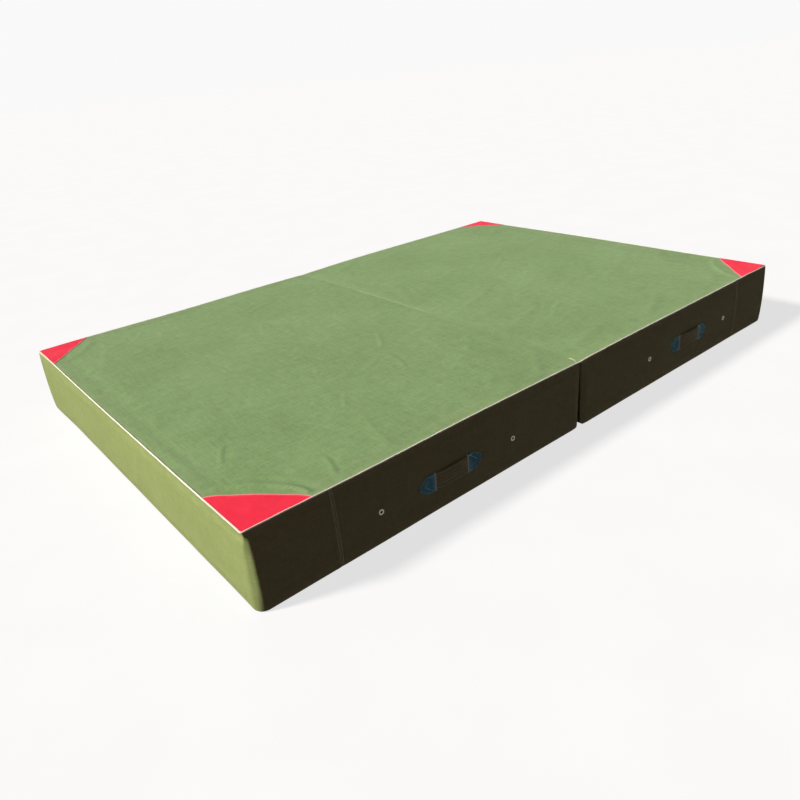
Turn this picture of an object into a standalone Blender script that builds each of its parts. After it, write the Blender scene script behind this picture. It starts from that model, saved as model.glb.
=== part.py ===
"""Folding crash landing mat: two foam-filled halves under one canvas top, hinged along the top of the fold.

Metres, +Z up. X runs along the unfolded length, with half A at -X and half B at +X. The front is -Y.
The origin is on the floor, under the middle of the fold.
Each half is laid out by its distance "out" from the fold plane, so both halves share every function.
"""

import math

import bmesh
import bpy
from mathutils import Vector

# The mat, laid flat
LENGTH = 3.0
WIDTH = 2.0
HEIGHT = 0.300
HALF_LENGTH = LENGTH / 2
HALF_WIDTH = WIDTH / 2
GAP = 0.0003
CANVAS = 0.0015
SIDES = {"a": -1, "b": 1}
FACES = {"front": -1, "back": 1}

# The fold: its hinge line lies a little above the canvas, where the crowned tops meet when the mat is folded
HINGE_HEIGHT = HEIGHT + 0.011
FOLD_GAP_TOP = 0.004
FOLD_GAP_BOTTOM = 0.020
FOLD_FOOT_RADIUS = {"a": 0.015, "b": 0.030}
WEB_HALF_WIDTH = 0.012
ARC_STEPS = 6

# The foam inside the cover
FOAM_INSET = 0.005
LANDING_LAYER = 0.030

# The cover
CORNER_RADIUS = 0.045
TOP_CORNER_RADIUS = 0.006
TOP_INSET = 0.0024
WALL_TOP = HEIGHT - 0.0042
GUSSET_WRAP = {"a": 0.300, "b": 0.270}

# Piping cord sewn into the top edge
PIPING_RADIUS = 0.0028
PIPING_OUT = 0.0008
PIPING_DROP = 0.0010
PIPING_CORNER_RADIUS = 0.007
PIPING_SIDES = 2

# Red triangles on the outer corners of the top
CORNER_PATCH_LEG = 0.240
CORNER_PATCH_THICKNESS = 0.0012
CORNER_PATCH_TIP = 0.008

# One handle between two vent eyelets on each long side of each half, all a little towards +X of its middle
FITTING_X = {"a": -0.717, "b": 0.795}
FITTING_HEIGHT = {"a": 0.127, "b": 0.140}
EYELET_SPACING = 0.626
HANDLE_LENGTH = 0.309
HANDLE_PATCH_SQUARE = 0.040
HANDLE_PATCH_POINT = 0.040
HANDLE_PATCH_HEIGHT = 0.075
HANDLE_PATCH_THICKNESS = 0.0025
STRAP_WIDTH = 0.068
STRAP_THICKNESS = 0.0025
STRAP_RISE = 0.011
STRAP_STEPS = 16
STRAP_FULLNESS = 3

# Vent eyelets, and the washers that they are set on
EYELET_RADIUS = 0.011
EYELET_BORE = 0.005
EYELET_BARREL = 0.006
EYELET_PROUD = 0.0018
EYELET_CLINCH = 0.0082
EYELET_DEPTH = 0.0040
WASHER_RADIUS = 0.0105
WASHER_THICKNESS = 0.0008
TURNED_STEPS = 24

# Zip along each fold face, closing the cover
ZIP_HEIGHT = 0.085
ZIP_TAPE = 0.030
CHAIN_WIDTH = 0.006
CHAIN_PROUD = 0.0016
SLIDER_LENGTH = 0.018
SLIDER_WIDTH = 0.013
SLIDER_PROUD = 0.0030
SLIDER_CLEARANCE = 0.0004
SLIDER_END_MARGIN = 0.060
STUD_RADIUS = 0.0012
STUD_HEAD_RADIUS = 0.0026
STUD_HEAD = 0.0007
PULL_THICKNESS = 0.0010
PULL_LENGTH = 0.026
PULL_WIDTH = 0.008
PULL_HOLE = 0.0019

# Linear colours, roughness and metallic value of each finish
FINISHES = {
    "top_canvas": ((0.235, 0.315, 0.135), 0.85, 0.0),
    "side_canvas": ((0.340, 0.350, 0.150), 0.85, 0.0),
    "base_canvas": ((0.060, 0.065, 0.045), 0.90, 0.0),
    "piping": ((0.780, 0.800, 0.480), 0.60, 0.0),
    "red_patch": ((0.800, 0.035, 0.070), 0.70, 0.0),
    "blue_patch": ((0.060, 0.210, 0.380), 0.75, 0.0),
    "soft_foam": ((0.780, 0.720, 0.500), 0.95, 0.0),
    "firm_foam": ((0.300, 0.330, 0.360), 0.95, 0.0),
    "nickel": ((0.720, 0.700, 0.660), 0.30, 1.0),
    "zip_coil": ((0.030, 0.035, 0.030), 0.55, 0.0),
}


def clear_scene():
    for found in list(bpy.data.objects):
        bpy.data.objects.remove(found, do_unlink=True)


def make_finish(name):
    colour, roughness, metallic = FINISHES[name]
    material = bpy.data.materials.new(name)
    material.use_nodes = True
    shader = material.node_tree.nodes["Principled BSDF"]
    shader.inputs["Base Color"].default_value = (*colour, 1.0)
    shader.inputs["Roughness"].default_value = roughness
    shader.inputs["Metallic"].default_value = metallic
    material.diffuse_color = (*colour, 1.0)
    return material


def make_frame(name, location):
    """An empty that carries the pieces of one half; half B's lies on the hinge line."""
    frame = bpy.data.objects.new(name, None)
    frame.location = location
    bpy.context.scene.collection.objects.link(frame)
    return frame


def place(piece, frame, location, rotation=(0.0, 0.0, 0.0)):
    """Parents the piece to a half's frame, at a location given in the mat's own coordinates."""
    piece.parent = frame
    piece.location = Vector(location) - frame.location
    piece.rotation_euler = rotation
    return piece


def add_piece(name, mesh, finish):
    piece = bpy.data.objects.new(name, mesh)
    bpy.context.scene.collection.objects.link(piece)
    if not mesh.materials:
        mesh.materials.append(finish)
    return piece


def closed_mesh(name, build, smooth=False):
    """A mesh from a function that fills a bmesh, with its faces turned outwards."""
    bm = bmesh.new()
    build(bm)
    bmesh.ops.recalc_face_normals(bm, faces=bm.faces)
    mesh = bpy.data.meshes.new(name)
    bm.to_mesh(mesh)
    bm.free()
    if smooth:
        mesh.shade_smooth()
        mesh.set_sharp_from_angle(angle=math.radians(35))
    return mesh


def loft(bm, loops):
    """Joins closed loops of points, all of one length, in order, and caps the first and the last."""
    rings = [[bm.verts.new(point) for point in loop] for loop in loops]
    count = len(rings[0])
    for low, high in zip(rings, rings[1:]):
        for i in range(count):
            j = (i + 1) % count
            bm.faces.new((low[i], low[j], high[j], high[i]))
    bm.faces.new(rings[0])
    bm.faces.new(rings[-1])


def ribbon(bm, outer, inner, lift):
    """A bent strip: pairs of points across its thickness, swept from lift(point, 0) to lift(point, 1)."""
    rails = [[bm.verts.new(lift(point, end)) for point in line] for end in (0, 1) for line in (outer, inner)]
    low_out, low_in, high_out, high_in = rails
    for i in range(len(outer) - 1):
        j = i + 1
        bm.faces.new((low_out[i], low_out[j], high_out[j], high_out[i]))
        bm.faces.new((low_in[i], low_in[j], high_in[j], high_in[i]))
        bm.faces.new((low_out[i], low_out[j], low_in[j], low_in[i]))
        bm.faces.new((high_out[i], high_out[j], high_in[j], high_in[i]))
    for i in (0, -1):
        bm.faces.new((low_out[i], high_out[i], high_in[i], low_in[i]))


def turned_ring(bm, profile):
    """A closed profile of (radius, height) points turned about Z into a ring."""
    rings = []
    for step in range(TURNED_STEPS):
        angle = 2 * math.pi * step / TURNED_STEPS
        rings.append([bm.verts.new((r * math.cos(angle), r * math.sin(angle), z)) for r, z in profile])
    for step, ring in enumerate(rings):
        after = rings[(step + 1) % TURNED_STEPS]
        for i in range(len(profile)):
            j = (i + 1) % len(profile)
            bm.faces.new((ring[i], ring[j], after[j], after[i]))


def cylinder_mesh(name, radius, length):
    """A cylinder about Z, from 0 up to its length."""

    def build(bm):
        circle = arc_points((0, 0), radius, 0, 2 * math.pi, TURNED_STEPS)[:-1]
        loft(bm, [[(x, y, z) for x, y in circle] for z in (0, length)])

    return closed_mesh(name, build)


def arc_points(centre, radius, start, end, steps):
    return [
        (
            centre[0] + radius * math.cos(start + (end - start) * i / steps),
            centre[1] + radius * math.sin(start + (end - start) * i / steps),
        )
        for i in range(steps + 1)
    ]


def add_boolean(piece, cutter, operation):
    """Cuts or joins with a helper object, which stays in the scene as a hidden wire."""
    cutter.hide_render = True
    cutter.display_type = "WIRE"
    modifier = piece.modifiers.new(cutter.name, "BOOLEAN")
    modifier.operation = operation
    modifier.solver = "EXACT"
    modifier.object = cutter


# ---- The fold's shape, in (out, z)


def face_out(z):
    """Distance of the slanted fold face from the fold plane, above its rounded foot."""
    share = 1 - z / HEIGHT
    return (FOLD_GAP_TOP + (FOLD_GAP_BOTTOM - FOLD_GAP_TOP) * share) / 2


def foot_centre(side):
    radius = FOLD_FOOT_RADIUS[side]
    return face_out(radius) + radius, radius


def fold_out(side, z, inset=0.0):
    """Distance from the fold plane of the half's inner outline, rounded foot included, set in by an inset."""
    radius = FOLD_FOOT_RADIUS[side]
    if z >= radius:
        return face_out(z) + inset
    reach = radius - inset
    drop = min(radius - z, reach)
    return foot_centre(side)[0] - math.sqrt(reach**2 - drop**2)


def foot_levels(side, low, inset=0.0):
    """Heights that step round the foot of the fold, above a lowest one."""
    radius = FOLD_FOOT_RADIUS[side]
    turns = [math.pi / 2 * i / ARC_STEPS for i in range(ARC_STEPS + 1)]
    heights = [radius - (radius - inset) * math.cos(turn) for turn in turns]
    return [low] + [z for z in heights if z > low]


# ---- Foam, and the flat panels above and below it


def half_outline(side, inner, inset, corner_radius):
    """Plan of one half: square at the fold, with round corners at its outer end."""
    sign = SIDES[side]
    end = HALF_LENGTH - inset
    edge = HALF_WIDTH - inset
    centre = (end - corner_radius, edge - corner_radius)
    corner = arc_points(centre, corner_radius, math.pi / 2, 0, ARC_STEPS)
    outline = [(inner, edge)] + corner + [(x, -y) for x, y in reversed(corner)] + [(inner, -edge)]
    return [(sign * x, y) for x, y in outline]


def slab(name, side, heights, inner_at, inset, corner_radius):
    def build(bm):
        loops = []
        for z in heights:
            outline = half_outline(side, inner_at(z), inset, corner_radius)
            loops.append([(x, y, z - heights[0]) for x, y in outline])
        loft(bm, loops)

    return closed_mesh(name, build)


def make_foam_core(side, frame, finishes):
    low = CANVAS + GAP
    heights = foot_levels(side, low, FOAM_INSET) + [HEIGHT - CANVAS - LANDING_LAYER - 2 * GAP]
    radius = CORNER_RADIUS - FOAM_INSET
    mesh = slab("foam_core", side, heights, lambda z: fold_out(side, z, FOAM_INSET), FOAM_INSET, radius)
    place(add_piece(f"foam_core_{side}", mesh, finishes["soft_foam"]), frame, (0, 0, low))


def make_landing_layer(side, frame, finishes):
    high = HEIGHT - CANVAS - GAP
    heights = [high - LANDING_LAYER, high]
    radius = CORNER_RADIUS - FOAM_INSET
    mesh = slab("landing_layer", side, heights, lambda z: fold_out(side, z, FOAM_INSET), FOAM_INSET, radius)
    place(add_piece(f"landing_layer_{side}", mesh, finishes["firm_foam"]), frame, (0, 0, heights[0]))


def make_top_panel(side, frame, finishes):
    heights = [HEIGHT - CANVAS, HEIGHT]
    inner = WEB_HALF_WIDTH + GAP
    mesh = slab("top_panel", side, heights, lambda z: inner, TOP_INSET, TOP_CORNER_RADIUS)
    place(add_piece(f"top_panel_{side}", mesh, finishes["top_canvas"]), frame, (0, 0, heights[0]))


def make_base_panel(side, frame, finishes):
    inner = foot_centre(side)[0] + GAP
    mesh = slab("base_panel", side, [0, CANVAS], lambda z: inner, 0, CORNER_RADIUS)
    place(add_piece(f"base_panel_{side}", mesh, finishes["base_canvas"]), frame, (0, 0, 0))


def make_fold_web(frame, finishes):
    """The strip of the top canvas that bends at the fold."""
    edge = HALF_WIDTH - TOP_INSET

    def build(bm):
        corners = ((-1, -1), (1, -1), (1, 1), (-1, 1))
        loft(bm, [[(x * WEB_HALF_WIDTH, y * edge, z) for x, y in corners] for z in (0, CANVAS)])

    mesh = closed_mesh("fold_web", build)
    place(add_piece("fold_web", mesh, finishes["top_canvas"]), frame, (0, 0, HEIGHT - CANVAS))


# ---- Upright panels of the cover


def make_end_gusset(side, frame, finishes):
    """One strip round the outer end and its two corners."""
    sign = SIDES[side]
    start = HALF_LENGTH - GUSSET_WRAP[side]

    def plan(thickness):
        centre = (HALF_LENGTH - CORNER_RADIUS, HALF_WIDTH - CORNER_RADIUS)
        corner = arc_points(centre, CORNER_RADIUS - thickness, math.pi / 2, 0, ARC_STEPS)
        quarter = [(start, HALF_WIDTH - thickness)] + corner
        return quarter + [(x, -y) for x, y in reversed(quarter)]

    low = CANVAS + GAP
    rise = (0, WALL_TOP - low)

    def build(bm):
        ribbon(bm, plan(0), plan(CANVAS), lambda p, end: (sign * p[0], p[1], rise[end]))

    mesh = closed_mesh("end_gusset", build, smooth=True)
    place(add_piece(f"end_gusset_{side}", mesh, finishes["side_canvas"]), frame, (0, 0, low))


def eyelet_places(side):
    return [FITTING_X[side] + way * EYELET_SPACING / 2 for way in (-1, 1)]


def make_side_panel(side, face, frame, finishes):
    """Flat wall between the gusset's seam and the fold, with two eyelet holes."""
    sign = SIDES[side]
    outward = FACES[face]
    low = CANVAS + GAP
    heights = foot_levels(side, low) + [WALL_TOP]
    far = HALF_LENGTH - GUSSET_WRAP[side] - GAP
    outline = [(fold_out(side, z), z) for z in heights] + [(far, WALL_TOP), (far, low)]

    def build(bm):
        loft(bm, [[(sign * x, y, z) for x, z in outline] for y in (0, -outward * CANVAS)])

    mesh = closed_mesh("side_panel", build)
    panel = add_piece(f"side_panel_{face}_{side}", mesh, finishes["side_canvas"])
    place(panel, frame, (0, outward * HALF_WIDTH, 0))
    drill = cylinder_mesh("eyelet_hole", EYELET_BARREL + GAP, 4 * CANVAS)
    for number, x in enumerate(eyelet_places(side), 1):
        cutter = add_piece(f"hole_{face}_{side}_{number}", drill, finishes["side_canvas"])
        start = (x, outward * (HALF_WIDTH + 1.5 * CANVAS), FITTING_HEIGHT[side])
        place(cutter, frame, start, (outward * math.pi / 2, 0, 0))
        add_boolean(panel, cutter, "DIFFERENCE")


def make_fold_strip(name, side, outer, inner, frame, finish):
    """A strip of the fold face, between the two side panels."""
    sign = SIDES[side]
    edge = HALF_WIDTH - CANVAS - GAP

    def build(bm):
        ribbon(bm, outer, inner, lambda p, end: (sign * p[0], edge if end else -edge, p[1]))

    mesh = closed_mesh(name, build, smooth=True)
    place(add_piece(f"{name}_{side}", mesh, finish), frame, (0, 0, 0))


def make_fold_faces(side, frame, finishes):
    """The fold face above the zip, and the one below it that turns under the foot."""
    high = (ZIP_HEIGHT + ZIP_TAPE / 2 + GAP, WALL_TOP)
    outer = [(face_out(z), z) for z in high]
    inner = [(face_out(z) + CANVAS, z) for z in high]
    make_fold_strip("fold_face_upper", side, outer, inner, frame, finishes["side_canvas"])
    zip_low = ZIP_HEIGHT - ZIP_TAPE / 2 - GAP
    centre = foot_centre(side)
    radius = FOLD_FOOT_RADIUS[side]
    rails = []
    for thickness in (0, CANVAS):
        foot = arc_points(centre, radius - thickness, -math.pi / 2, -math.pi, ARC_STEPS)
        rails.append(foot + [(face_out(zip_low) + thickness, zip_low)])
    make_fold_strip("fold_face_lower", side, *rails, frame, finishes["side_canvas"])


# ---- Zip


def make_zip_chain(side, frame, finishes):
    """Zip tape with its coil standing proud along the middle."""
    sign = SIDES[side]
    edge = HALF_WIDTH - CANVAS - GAP
    low, high = -ZIP_TAPE / 2, ZIP_TAPE / 2
    coil = CHAIN_WIDTH / 2
    outline = [(CANVAS, low), (CANVAS, high), (0, high), (0, coil), (-CHAIN_PROUD, coil)]
    outline += [(-CHAIN_PROUD, -coil), (0, -coil), (0, low)]

    def build(bm):
        section = [(sign * (face_out(ZIP_HEIGHT + z) + depth), z) for depth, z in outline]
        loft(bm, [[(x, y, z) for x, z in section] for y in (-edge, edge)])

    mesh = closed_mesh("zip_chain", build)
    place(add_piece(f"zip_chain_{side}", mesh, finishes["zip_coil"]), frame, (0, 0, ZIP_HEIGHT))


def slider_start(side):
    """Closed end of the zip: half A's is at the front, half B's at the back."""
    sign = SIDES[side]
    return (sign * face_out(ZIP_HEIGHT), sign * (HALF_WIDTH - SLIDER_END_MARGIN), ZIP_HEIGHT)


def zip_turn(side):
    """Turns a piece built with +Z standing out of the fold face into place on the slanted face."""
    slant = math.atan((FOLD_GAP_BOTTOM - FOLD_GAP_TOP) / 2 / HEIGHT)
    return (0, -SIDES[side] * (math.pi / 2 + slant), 0)


def make_zip_slider(side, frame, finishes):
    """Body that straddles the coil, with a headed stud that carries the pull."""
    half = SLIDER_WIDTH / 2
    slot = CHAIN_WIDTH / 2 + SLIDER_CLEARANCE
    roof = CHAIN_PROUD + SLIDER_CLEARANCE
    section = [(-half, GAP), (-slot, GAP), (-slot, roof), (slot, roof), (slot, GAP), (half, GAP)]
    section += [(half, SLIDER_PROUD), (-half, SLIDER_PROUD)]

    def build(bm):
        loft(bm, [[(x, y, z) for x, z in section] for y in (-SLIDER_LENGTH / 2, SLIDER_LENGTH / 2)])

    slider = add_piece(f"zip_slider_{side}", closed_mesh("zip_slider", build), finishes["nickel"])
    place(slider, frame, slider_start(side), zip_turn(side))
    neck = SLIDER_PROUD + PULL_THICKNESS + 2 * SLIDER_CLEARANCE
    root = roof + CANVAS / 4

    def build_stud(bm):
        profile = [(STUD_RADIUS, root), (STUD_RADIUS, neck), (STUD_HEAD_RADIUS, neck)]
        profile += [(STUD_HEAD_RADIUS, neck + STUD_HEAD)]
        loft(bm, [[(*point, z) for point in arc_points((0, 0), r, 0, 2 * math.pi, TURNED_STEPS)[:-1]]
                  for r, z in profile])

    stud = add_piece(f"stud_{side}", closed_mesh("stud", build_stud), finishes["nickel"])
    place(stud, frame, slider_start(side), zip_turn(side))
    add_boolean(slider, stud, "UNION")


def make_zip_pull(side, frame, finishes):
    """Flat tab hanging from the slider's stud, with its origin on the stud's axis."""
    half = PULL_WIDTH / 2
    crown = arc_points((0, 0), half, 0, math.pi, 2 * ARC_STEPS)
    foot = arc_points((0, -PULL_LENGTH), half, math.pi, 2 * math.pi, 2 * ARC_STEPS)
    low = SLIDER_PROUD + SLIDER_CLEARANCE
    hang = -SIDES[side]

    def build(bm):
        loft(bm, [[(-hang * y, x, z) for x, y in crown + foot] for z in (low, low + PULL_THICKNESS)])

    pull = add_piece(f"zip_pull_{side}", closed_mesh("zip_pull", build), finishes["nickel"])
    place(pull, frame, slider_start(side), zip_turn(side))
    drill = cylinder_mesh("pull_hole", PULL_HOLE, 2 * SLIDER_PROUD)
    cutter = add_piece(f"pull_hole_{side}", drill, finishes["nickel"])
    place(cutter, frame, slider_start(side), zip_turn(side))
    add_boolean(pull, cutter, "DIFFERENCE")


# ---- Trim of the top


def make_piping(side, frame, finishes):
    """Cord round the top edge of one half, from the fold round the outer end and back to the fold."""
    sign = SIDES[side]
    end = HALF_LENGTH + PIPING_OUT
    edge = HALF_WIDTH + PIPING_OUT
    centre = (end - PIPING_CORNER_RADIUS, edge - PIPING_CORNER_RADIUS)
    corner = arc_points(centre, PIPING_CORNER_RADIUS, math.pi / 2, 0, ARC_STEPS)
    quarter = [(GAP, edge)] + corner
    route = quarter + [(x, -y) for x, y in reversed(quarter)]
    curve = bpy.data.curves.new("piping", "CURVE")
    curve.dimensions = "3D"
    curve.bevel_depth = PIPING_RADIUS
    curve.bevel_resolution = PIPING_SIDES
    curve.use_fill_caps = True
    spline = curve.splines.new("POLY")
    spline.points.add(len(route) - 1)
    for point, (x, y) in zip(spline.points, route):
        point.co = (sign * x, y, 0, 1)
    place(add_piece(f"piping_{side}", curve, finishes["piping"]), frame, (0, 0, HEIGHT - PIPING_DROP))


def make_corner_patch(side, face, frame, finishes):
    """Triangle with its square corner at the mat's outer corner."""
    reach = TOP_INSET + GAP
    leg = CORNER_PATCH_LEG
    tip = CORNER_PATCH_TIP
    square = arc_points((-tip, -tip), tip, math.pi / 2, 0, ARC_STEPS)
    outline = square + [(0, tip - leg), (-tip, tip - leg), (tip - leg, -tip), (tip - leg, 0)]

    def build(bm):
        corners = [(SIDES[side] * x, FACES[face] * y) for x, y in outline]
        loft(bm, [[(x, y, z) for x, y in corners] for z in (0, CORNER_PATCH_THICKNESS)])

    mesh = closed_mesh("corner_patch", build)
    patch = add_piece(f"corner_patch_{face}_{side}", mesh, finishes["red_patch"])
    corner = (SIDES[side] * (HALF_LENGTH - reach), FACES[face] * (HALF_WIDTH - reach), HEIGHT + GAP)
    place(patch, frame, corner)


# ---- Handles


def patch_mesh():
    """Five-sided handle patch, pointing along +X from its straight edge, lying on the XZ plane."""
    half = HANDLE_PATCH_HEIGHT / 2
    tip = HANDLE_PATCH_SQUARE + HANDLE_PATCH_POINT
    outline = [(0, -half), (HANDLE_PATCH_SQUARE, -half), (tip, 0), (HANDLE_PATCH_SQUARE, half), (0, half)]

    def build(bm):
        loft(bm, [[(x, y, z) for x, z in outline] for y in (0, -HANDLE_PATCH_THICKNESS)])

    return closed_mesh("handle_patch", build)


def make_handle_patches(side, face, frame, finishes):
    outward = FACES[face]
    tip = HANDLE_PATCH_SQUARE + HANDLE_PATCH_POINT
    mesh = patch_mesh()
    for label, way in (("left", -1), ("right", 1)):
        patch = add_piece(f"handle_patch_{face}_{side}_{label}", mesh, finishes["blue_patch"])
        x = FITTING_X[side] + way * (HANDLE_LENGTH / 2 - tip)
        lift = HALF_WIDTH + GAP
        if outward > 0:
            lift += HANDLE_PATCH_THICKNESS
        turn = 0 if way > 0 else math.pi
        place(patch, frame, (x, outward * lift, FITTING_HEIGHT[side]), (0, turn, 0))


def make_handle_strap(side, face, frame, finishes):
    """Strap standing off the wall in an arch, between the two patches."""
    outward = FACES[face]
    reach = HANDLE_LENGTH / 2 - HANDLE_PATCH_SQUARE - HANDLE_PATCH_POINT - GAP

    def arch(thickness):
        shares = [2 * i / STRAP_STEPS - 1 for i in range(STRAP_STEPS + 1)]
        return [(reach * s, thickness + STRAP_RISE * (1 - abs(s) ** STRAP_FULLNESS)) for s in shares]

    edges = (-STRAP_WIDTH / 2, STRAP_WIDTH / 2)

    def build(bm):
        ribbon(bm, arch(STRAP_THICKNESS), arch(0), lambda p, end: (p[0], outward * p[1], edges[end]))

    mesh = closed_mesh("handle_strap", build, smooth=True)
    strap = add_piece(f"handle_strap_{face}_{side}", mesh, finishes["side_canvas"])
    place(strap, frame, (FITTING_X[side], outward * (HALF_WIDTH + GAP), FITTING_HEIGHT[side]))


# ---- Vent eyelets


def eyelet_mesh():
    """Eyelet about Z: rolled flange before the canvas (+Z), barrel through it, clinched behind the washer."""
    behind = -(CANVAS + 2 * GAP + WASHER_THICKNESS)
    roll = (EYELET_RADIUS - EYELET_BORE) / 2
    middle = EYELET_BORE + roll
    crown = [(middle + roll * math.cos(a), GAP + EYELET_PROUD * math.sin(a))
             for a in (math.pi * i / ARC_STEPS for i in range(ARC_STEPS + 1))]
    profile = crown + [(EYELET_BORE, -EYELET_DEPTH), (EYELET_CLINCH, -EYELET_DEPTH)]
    profile += [(EYELET_CLINCH, behind - GAP), (EYELET_BARREL, behind - GAP), (EYELET_BARREL, GAP)]
    return closed_mesh("vent_eyelet", lambda bm: turned_ring(bm, profile), smooth=True)


def washer_mesh():
    top = -(CANVAS + GAP)
    bottom = top - WASHER_THICKNESS
    bore = EYELET_BARREL + GAP
    profile = [(bore, bottom), (WASHER_RADIUS, bottom), (WASHER_RADIUS, top), (bore, top)]
    return closed_mesh("vent_washer", lambda bm: turned_ring(bm, profile), smooth=True)


def make_eyelets(side, face, frame, finishes):
    outward = FACES[face]
    meshes = {"vent_eyelet": eyelet_mesh(), "vent_washer": washer_mesh()}
    for number, x in enumerate(eyelet_places(side), 1):
        for kind, mesh in meshes.items():
            ring = add_piece(f"{kind}_{face}_{side}_{number}", mesh, finishes["nickel"])
            seat = (x, outward * HALF_WIDTH, FITTING_HEIGHT[side])
            place(ring, frame, seat, (-outward * math.pi / 2, 0, 0))


def make_half(side, frame, finishes):
    make_foam_core(side, frame, finishes)
    make_landing_layer(side, frame, finishes)
    make_top_panel(side, frame, finishes)
    make_base_panel(side, frame, finishes)
    make_end_gusset(side, frame, finishes)
    make_fold_faces(side, frame, finishes)
    make_zip_chain(side, frame, finishes)
    make_zip_slider(side, frame, finishes)
    make_zip_pull(side, frame, finishes)
    make_piping(side, frame, finishes)
    for face in FACES:
        make_side_panel(side, face, frame, finishes)
        make_corner_patch(side, face, frame, finishes)
        make_handle_patches(side, face, frame, finishes)
        make_handle_strap(side, face, frame, finishes)
        make_eyelets(side, face, frame, finishes)


def main():
    clear_scene()
    finishes = {name: make_finish(name) for name in FINISHES}
    fixed = make_frame("half_a_frame", (0, 0, 0))
    hinged = make_frame("fold_hinge_line", (0, 0, HINGE_HEIGHT))
    make_fold_web(fixed, finishes)
    make_half("a", fixed, finishes)
    make_half("b", hinged, finishes)


main()
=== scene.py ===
"""Looks of the folding crash landing mat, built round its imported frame.

Metres, +Z up, in the frame's own coordinates: X runs along the unfolded mat, and the front is -Y.
Half A is at -X and half B at +X. Places and sizes come from the boxes of the frame's nodes.
Every cloth panel is a thin closed shell made from a grid of points, seam to seam.
"""

import math

import bmesh
import bpy
import numpy as np
from mathutils import Matrix, Vector


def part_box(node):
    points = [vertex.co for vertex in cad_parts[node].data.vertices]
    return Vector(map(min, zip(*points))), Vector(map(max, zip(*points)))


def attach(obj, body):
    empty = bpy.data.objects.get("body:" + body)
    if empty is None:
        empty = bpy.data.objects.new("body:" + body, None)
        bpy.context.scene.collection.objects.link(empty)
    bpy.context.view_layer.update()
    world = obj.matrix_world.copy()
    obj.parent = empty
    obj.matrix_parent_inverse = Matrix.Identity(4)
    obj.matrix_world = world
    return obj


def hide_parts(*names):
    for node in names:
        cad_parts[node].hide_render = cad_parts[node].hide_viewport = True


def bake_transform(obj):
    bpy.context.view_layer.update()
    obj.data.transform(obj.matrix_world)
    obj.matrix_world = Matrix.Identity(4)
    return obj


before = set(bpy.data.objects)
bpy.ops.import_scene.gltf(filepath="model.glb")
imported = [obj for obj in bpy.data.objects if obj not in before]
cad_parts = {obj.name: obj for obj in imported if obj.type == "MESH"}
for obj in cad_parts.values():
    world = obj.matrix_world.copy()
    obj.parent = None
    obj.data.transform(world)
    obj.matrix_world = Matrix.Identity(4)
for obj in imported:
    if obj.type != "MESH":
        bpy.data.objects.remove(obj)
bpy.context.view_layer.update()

SIDES = {"a": -1, "b": 1}
FACES = {"front": -1, "back": 1}
MM = 0.001

# ---- Driving sizes, read from the frame
LENGTH_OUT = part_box("end_gusset_b")[1].x
WIDTH_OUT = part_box("end_gusset_b")[1].y
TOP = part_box("top_panel_a")[1].z
WALL_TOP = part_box("end_gusset_a")[1].z + 1.5 * MM
SEAM_OUT = {side: abs(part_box(f"side_panel_front_{side}")[i].x) for side, i in (("a", 0), ("b", 1))}
PIPING_Z = (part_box("piping_a")[0].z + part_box("piping_a")[1].z) / 2
PIPING_RADIUS = 0.3 * MM + (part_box("piping_a")[1].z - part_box("piping_a")[0].z) / 2
PIPING_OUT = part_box("piping_b")[1].x - PIPING_RADIUS - LENGTH_OUT
FACE_TOP = (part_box("fold_face_upper_b")[0].x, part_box("fold_face_upper_b")[1].z)
ZIP_LOW, ZIP_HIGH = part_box("zip_chain_b")[0].z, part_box("zip_chain_b")[1].z
FOOT_CENTRE = {"a": -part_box("base_panel_a")[1].x, "b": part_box("base_panel_b")[0].x}
FOAM_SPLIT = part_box("landing_layer_a")[0].z

# ---- Cloth
CANVAS = 1.2 * MM
PATCH_CLOTH = 1.1 * MM
COVER_CELL = 8.7 * MM
WALL_CELL = 8 * MM
BACK_STRIDE = 4

# ---- Shape of the filled cover
CROWN = 5.5 * MM
CROWN_RISE = 0.16
GUTTER = 2.2 * MM
GUTTER_PLACE = 0.060
GUTTER_WIDTH = 0.035
RIM_WAVE = 2.0 * MM
RIM_ROLL = 5 * MM
WALL_SWELL = 8.0 * MM
SEAM_PINCH = 2.2 * MM
SEAM_WIDTH = 9 * MM
BOTTOM_ROLL = 7 * MM
NECK = 4.0 * MM
NECK_DROP = 0.022
NECK_WIDTH = 0.018
HEM_BAND = 0.021
HEM_RISE = 0.9 * MM
FOLD_DIP = 2.2 * MM
FAR_PIPING_DROP = 3.2 * MM
CORNER_REACH = 0.062
CORNER_TOP_RADIUS = 8 * MM
# Radius of each upright corner half way up, and at its foot. The near corner is worn the roundest.
CORNER_RADII = {
    ("a", "front"): (0.028, 0.036), ("a", "back"): (0.010, 0.012),
    ("b", "front"): (0.009, 0.010), ("b", "back"): (0.012, 0.016),
}
CORNER_TUCK = 4.5 * MM
CORNER_TUCK_REACH = 0.080
CRISP_FULLNESS = 5 * MM
FOLD_EDGE_ROLL = 4 * MM
FOLD_SLANT = (FACE_TOP[0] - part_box("fold_face_lower_b")[0].x) / (ZIP_LOW - FACE_TOP[1])

PAD_CLEARANCE = 5.5 * MM
FOAM_CORNER_RADIUS = 0.048
FOOT_CLEARANCE = 4 * MM

# ---- Cloth simulation
LAID_CELL = 20 * MM
LAID_FRAMES = 24
LAID_CAP = 3.2 * MM
TOP_SLACK = 0.0022
WALL_SLACK = 0.0012

# ---- Light
KEY_STRENGTH = 4.5
KEY_DIRECTION = (0.76, -0.29, -0.62)
KEY_SOFTNESS = math.radians(9.0)
FILL_COLOUR = (1.0, 0.62, 0.80, 1.0)
FILL_STRENGTH = 0.064
FLOOR_GLOW = 0.73
BACKDROP_RADIUS = 40.0

# ---- Fittings
STITCH_BLUE = 4.2 * MM
STITCH_SEAM = 5.0 * MM


# ================================================================ mesh making


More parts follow.
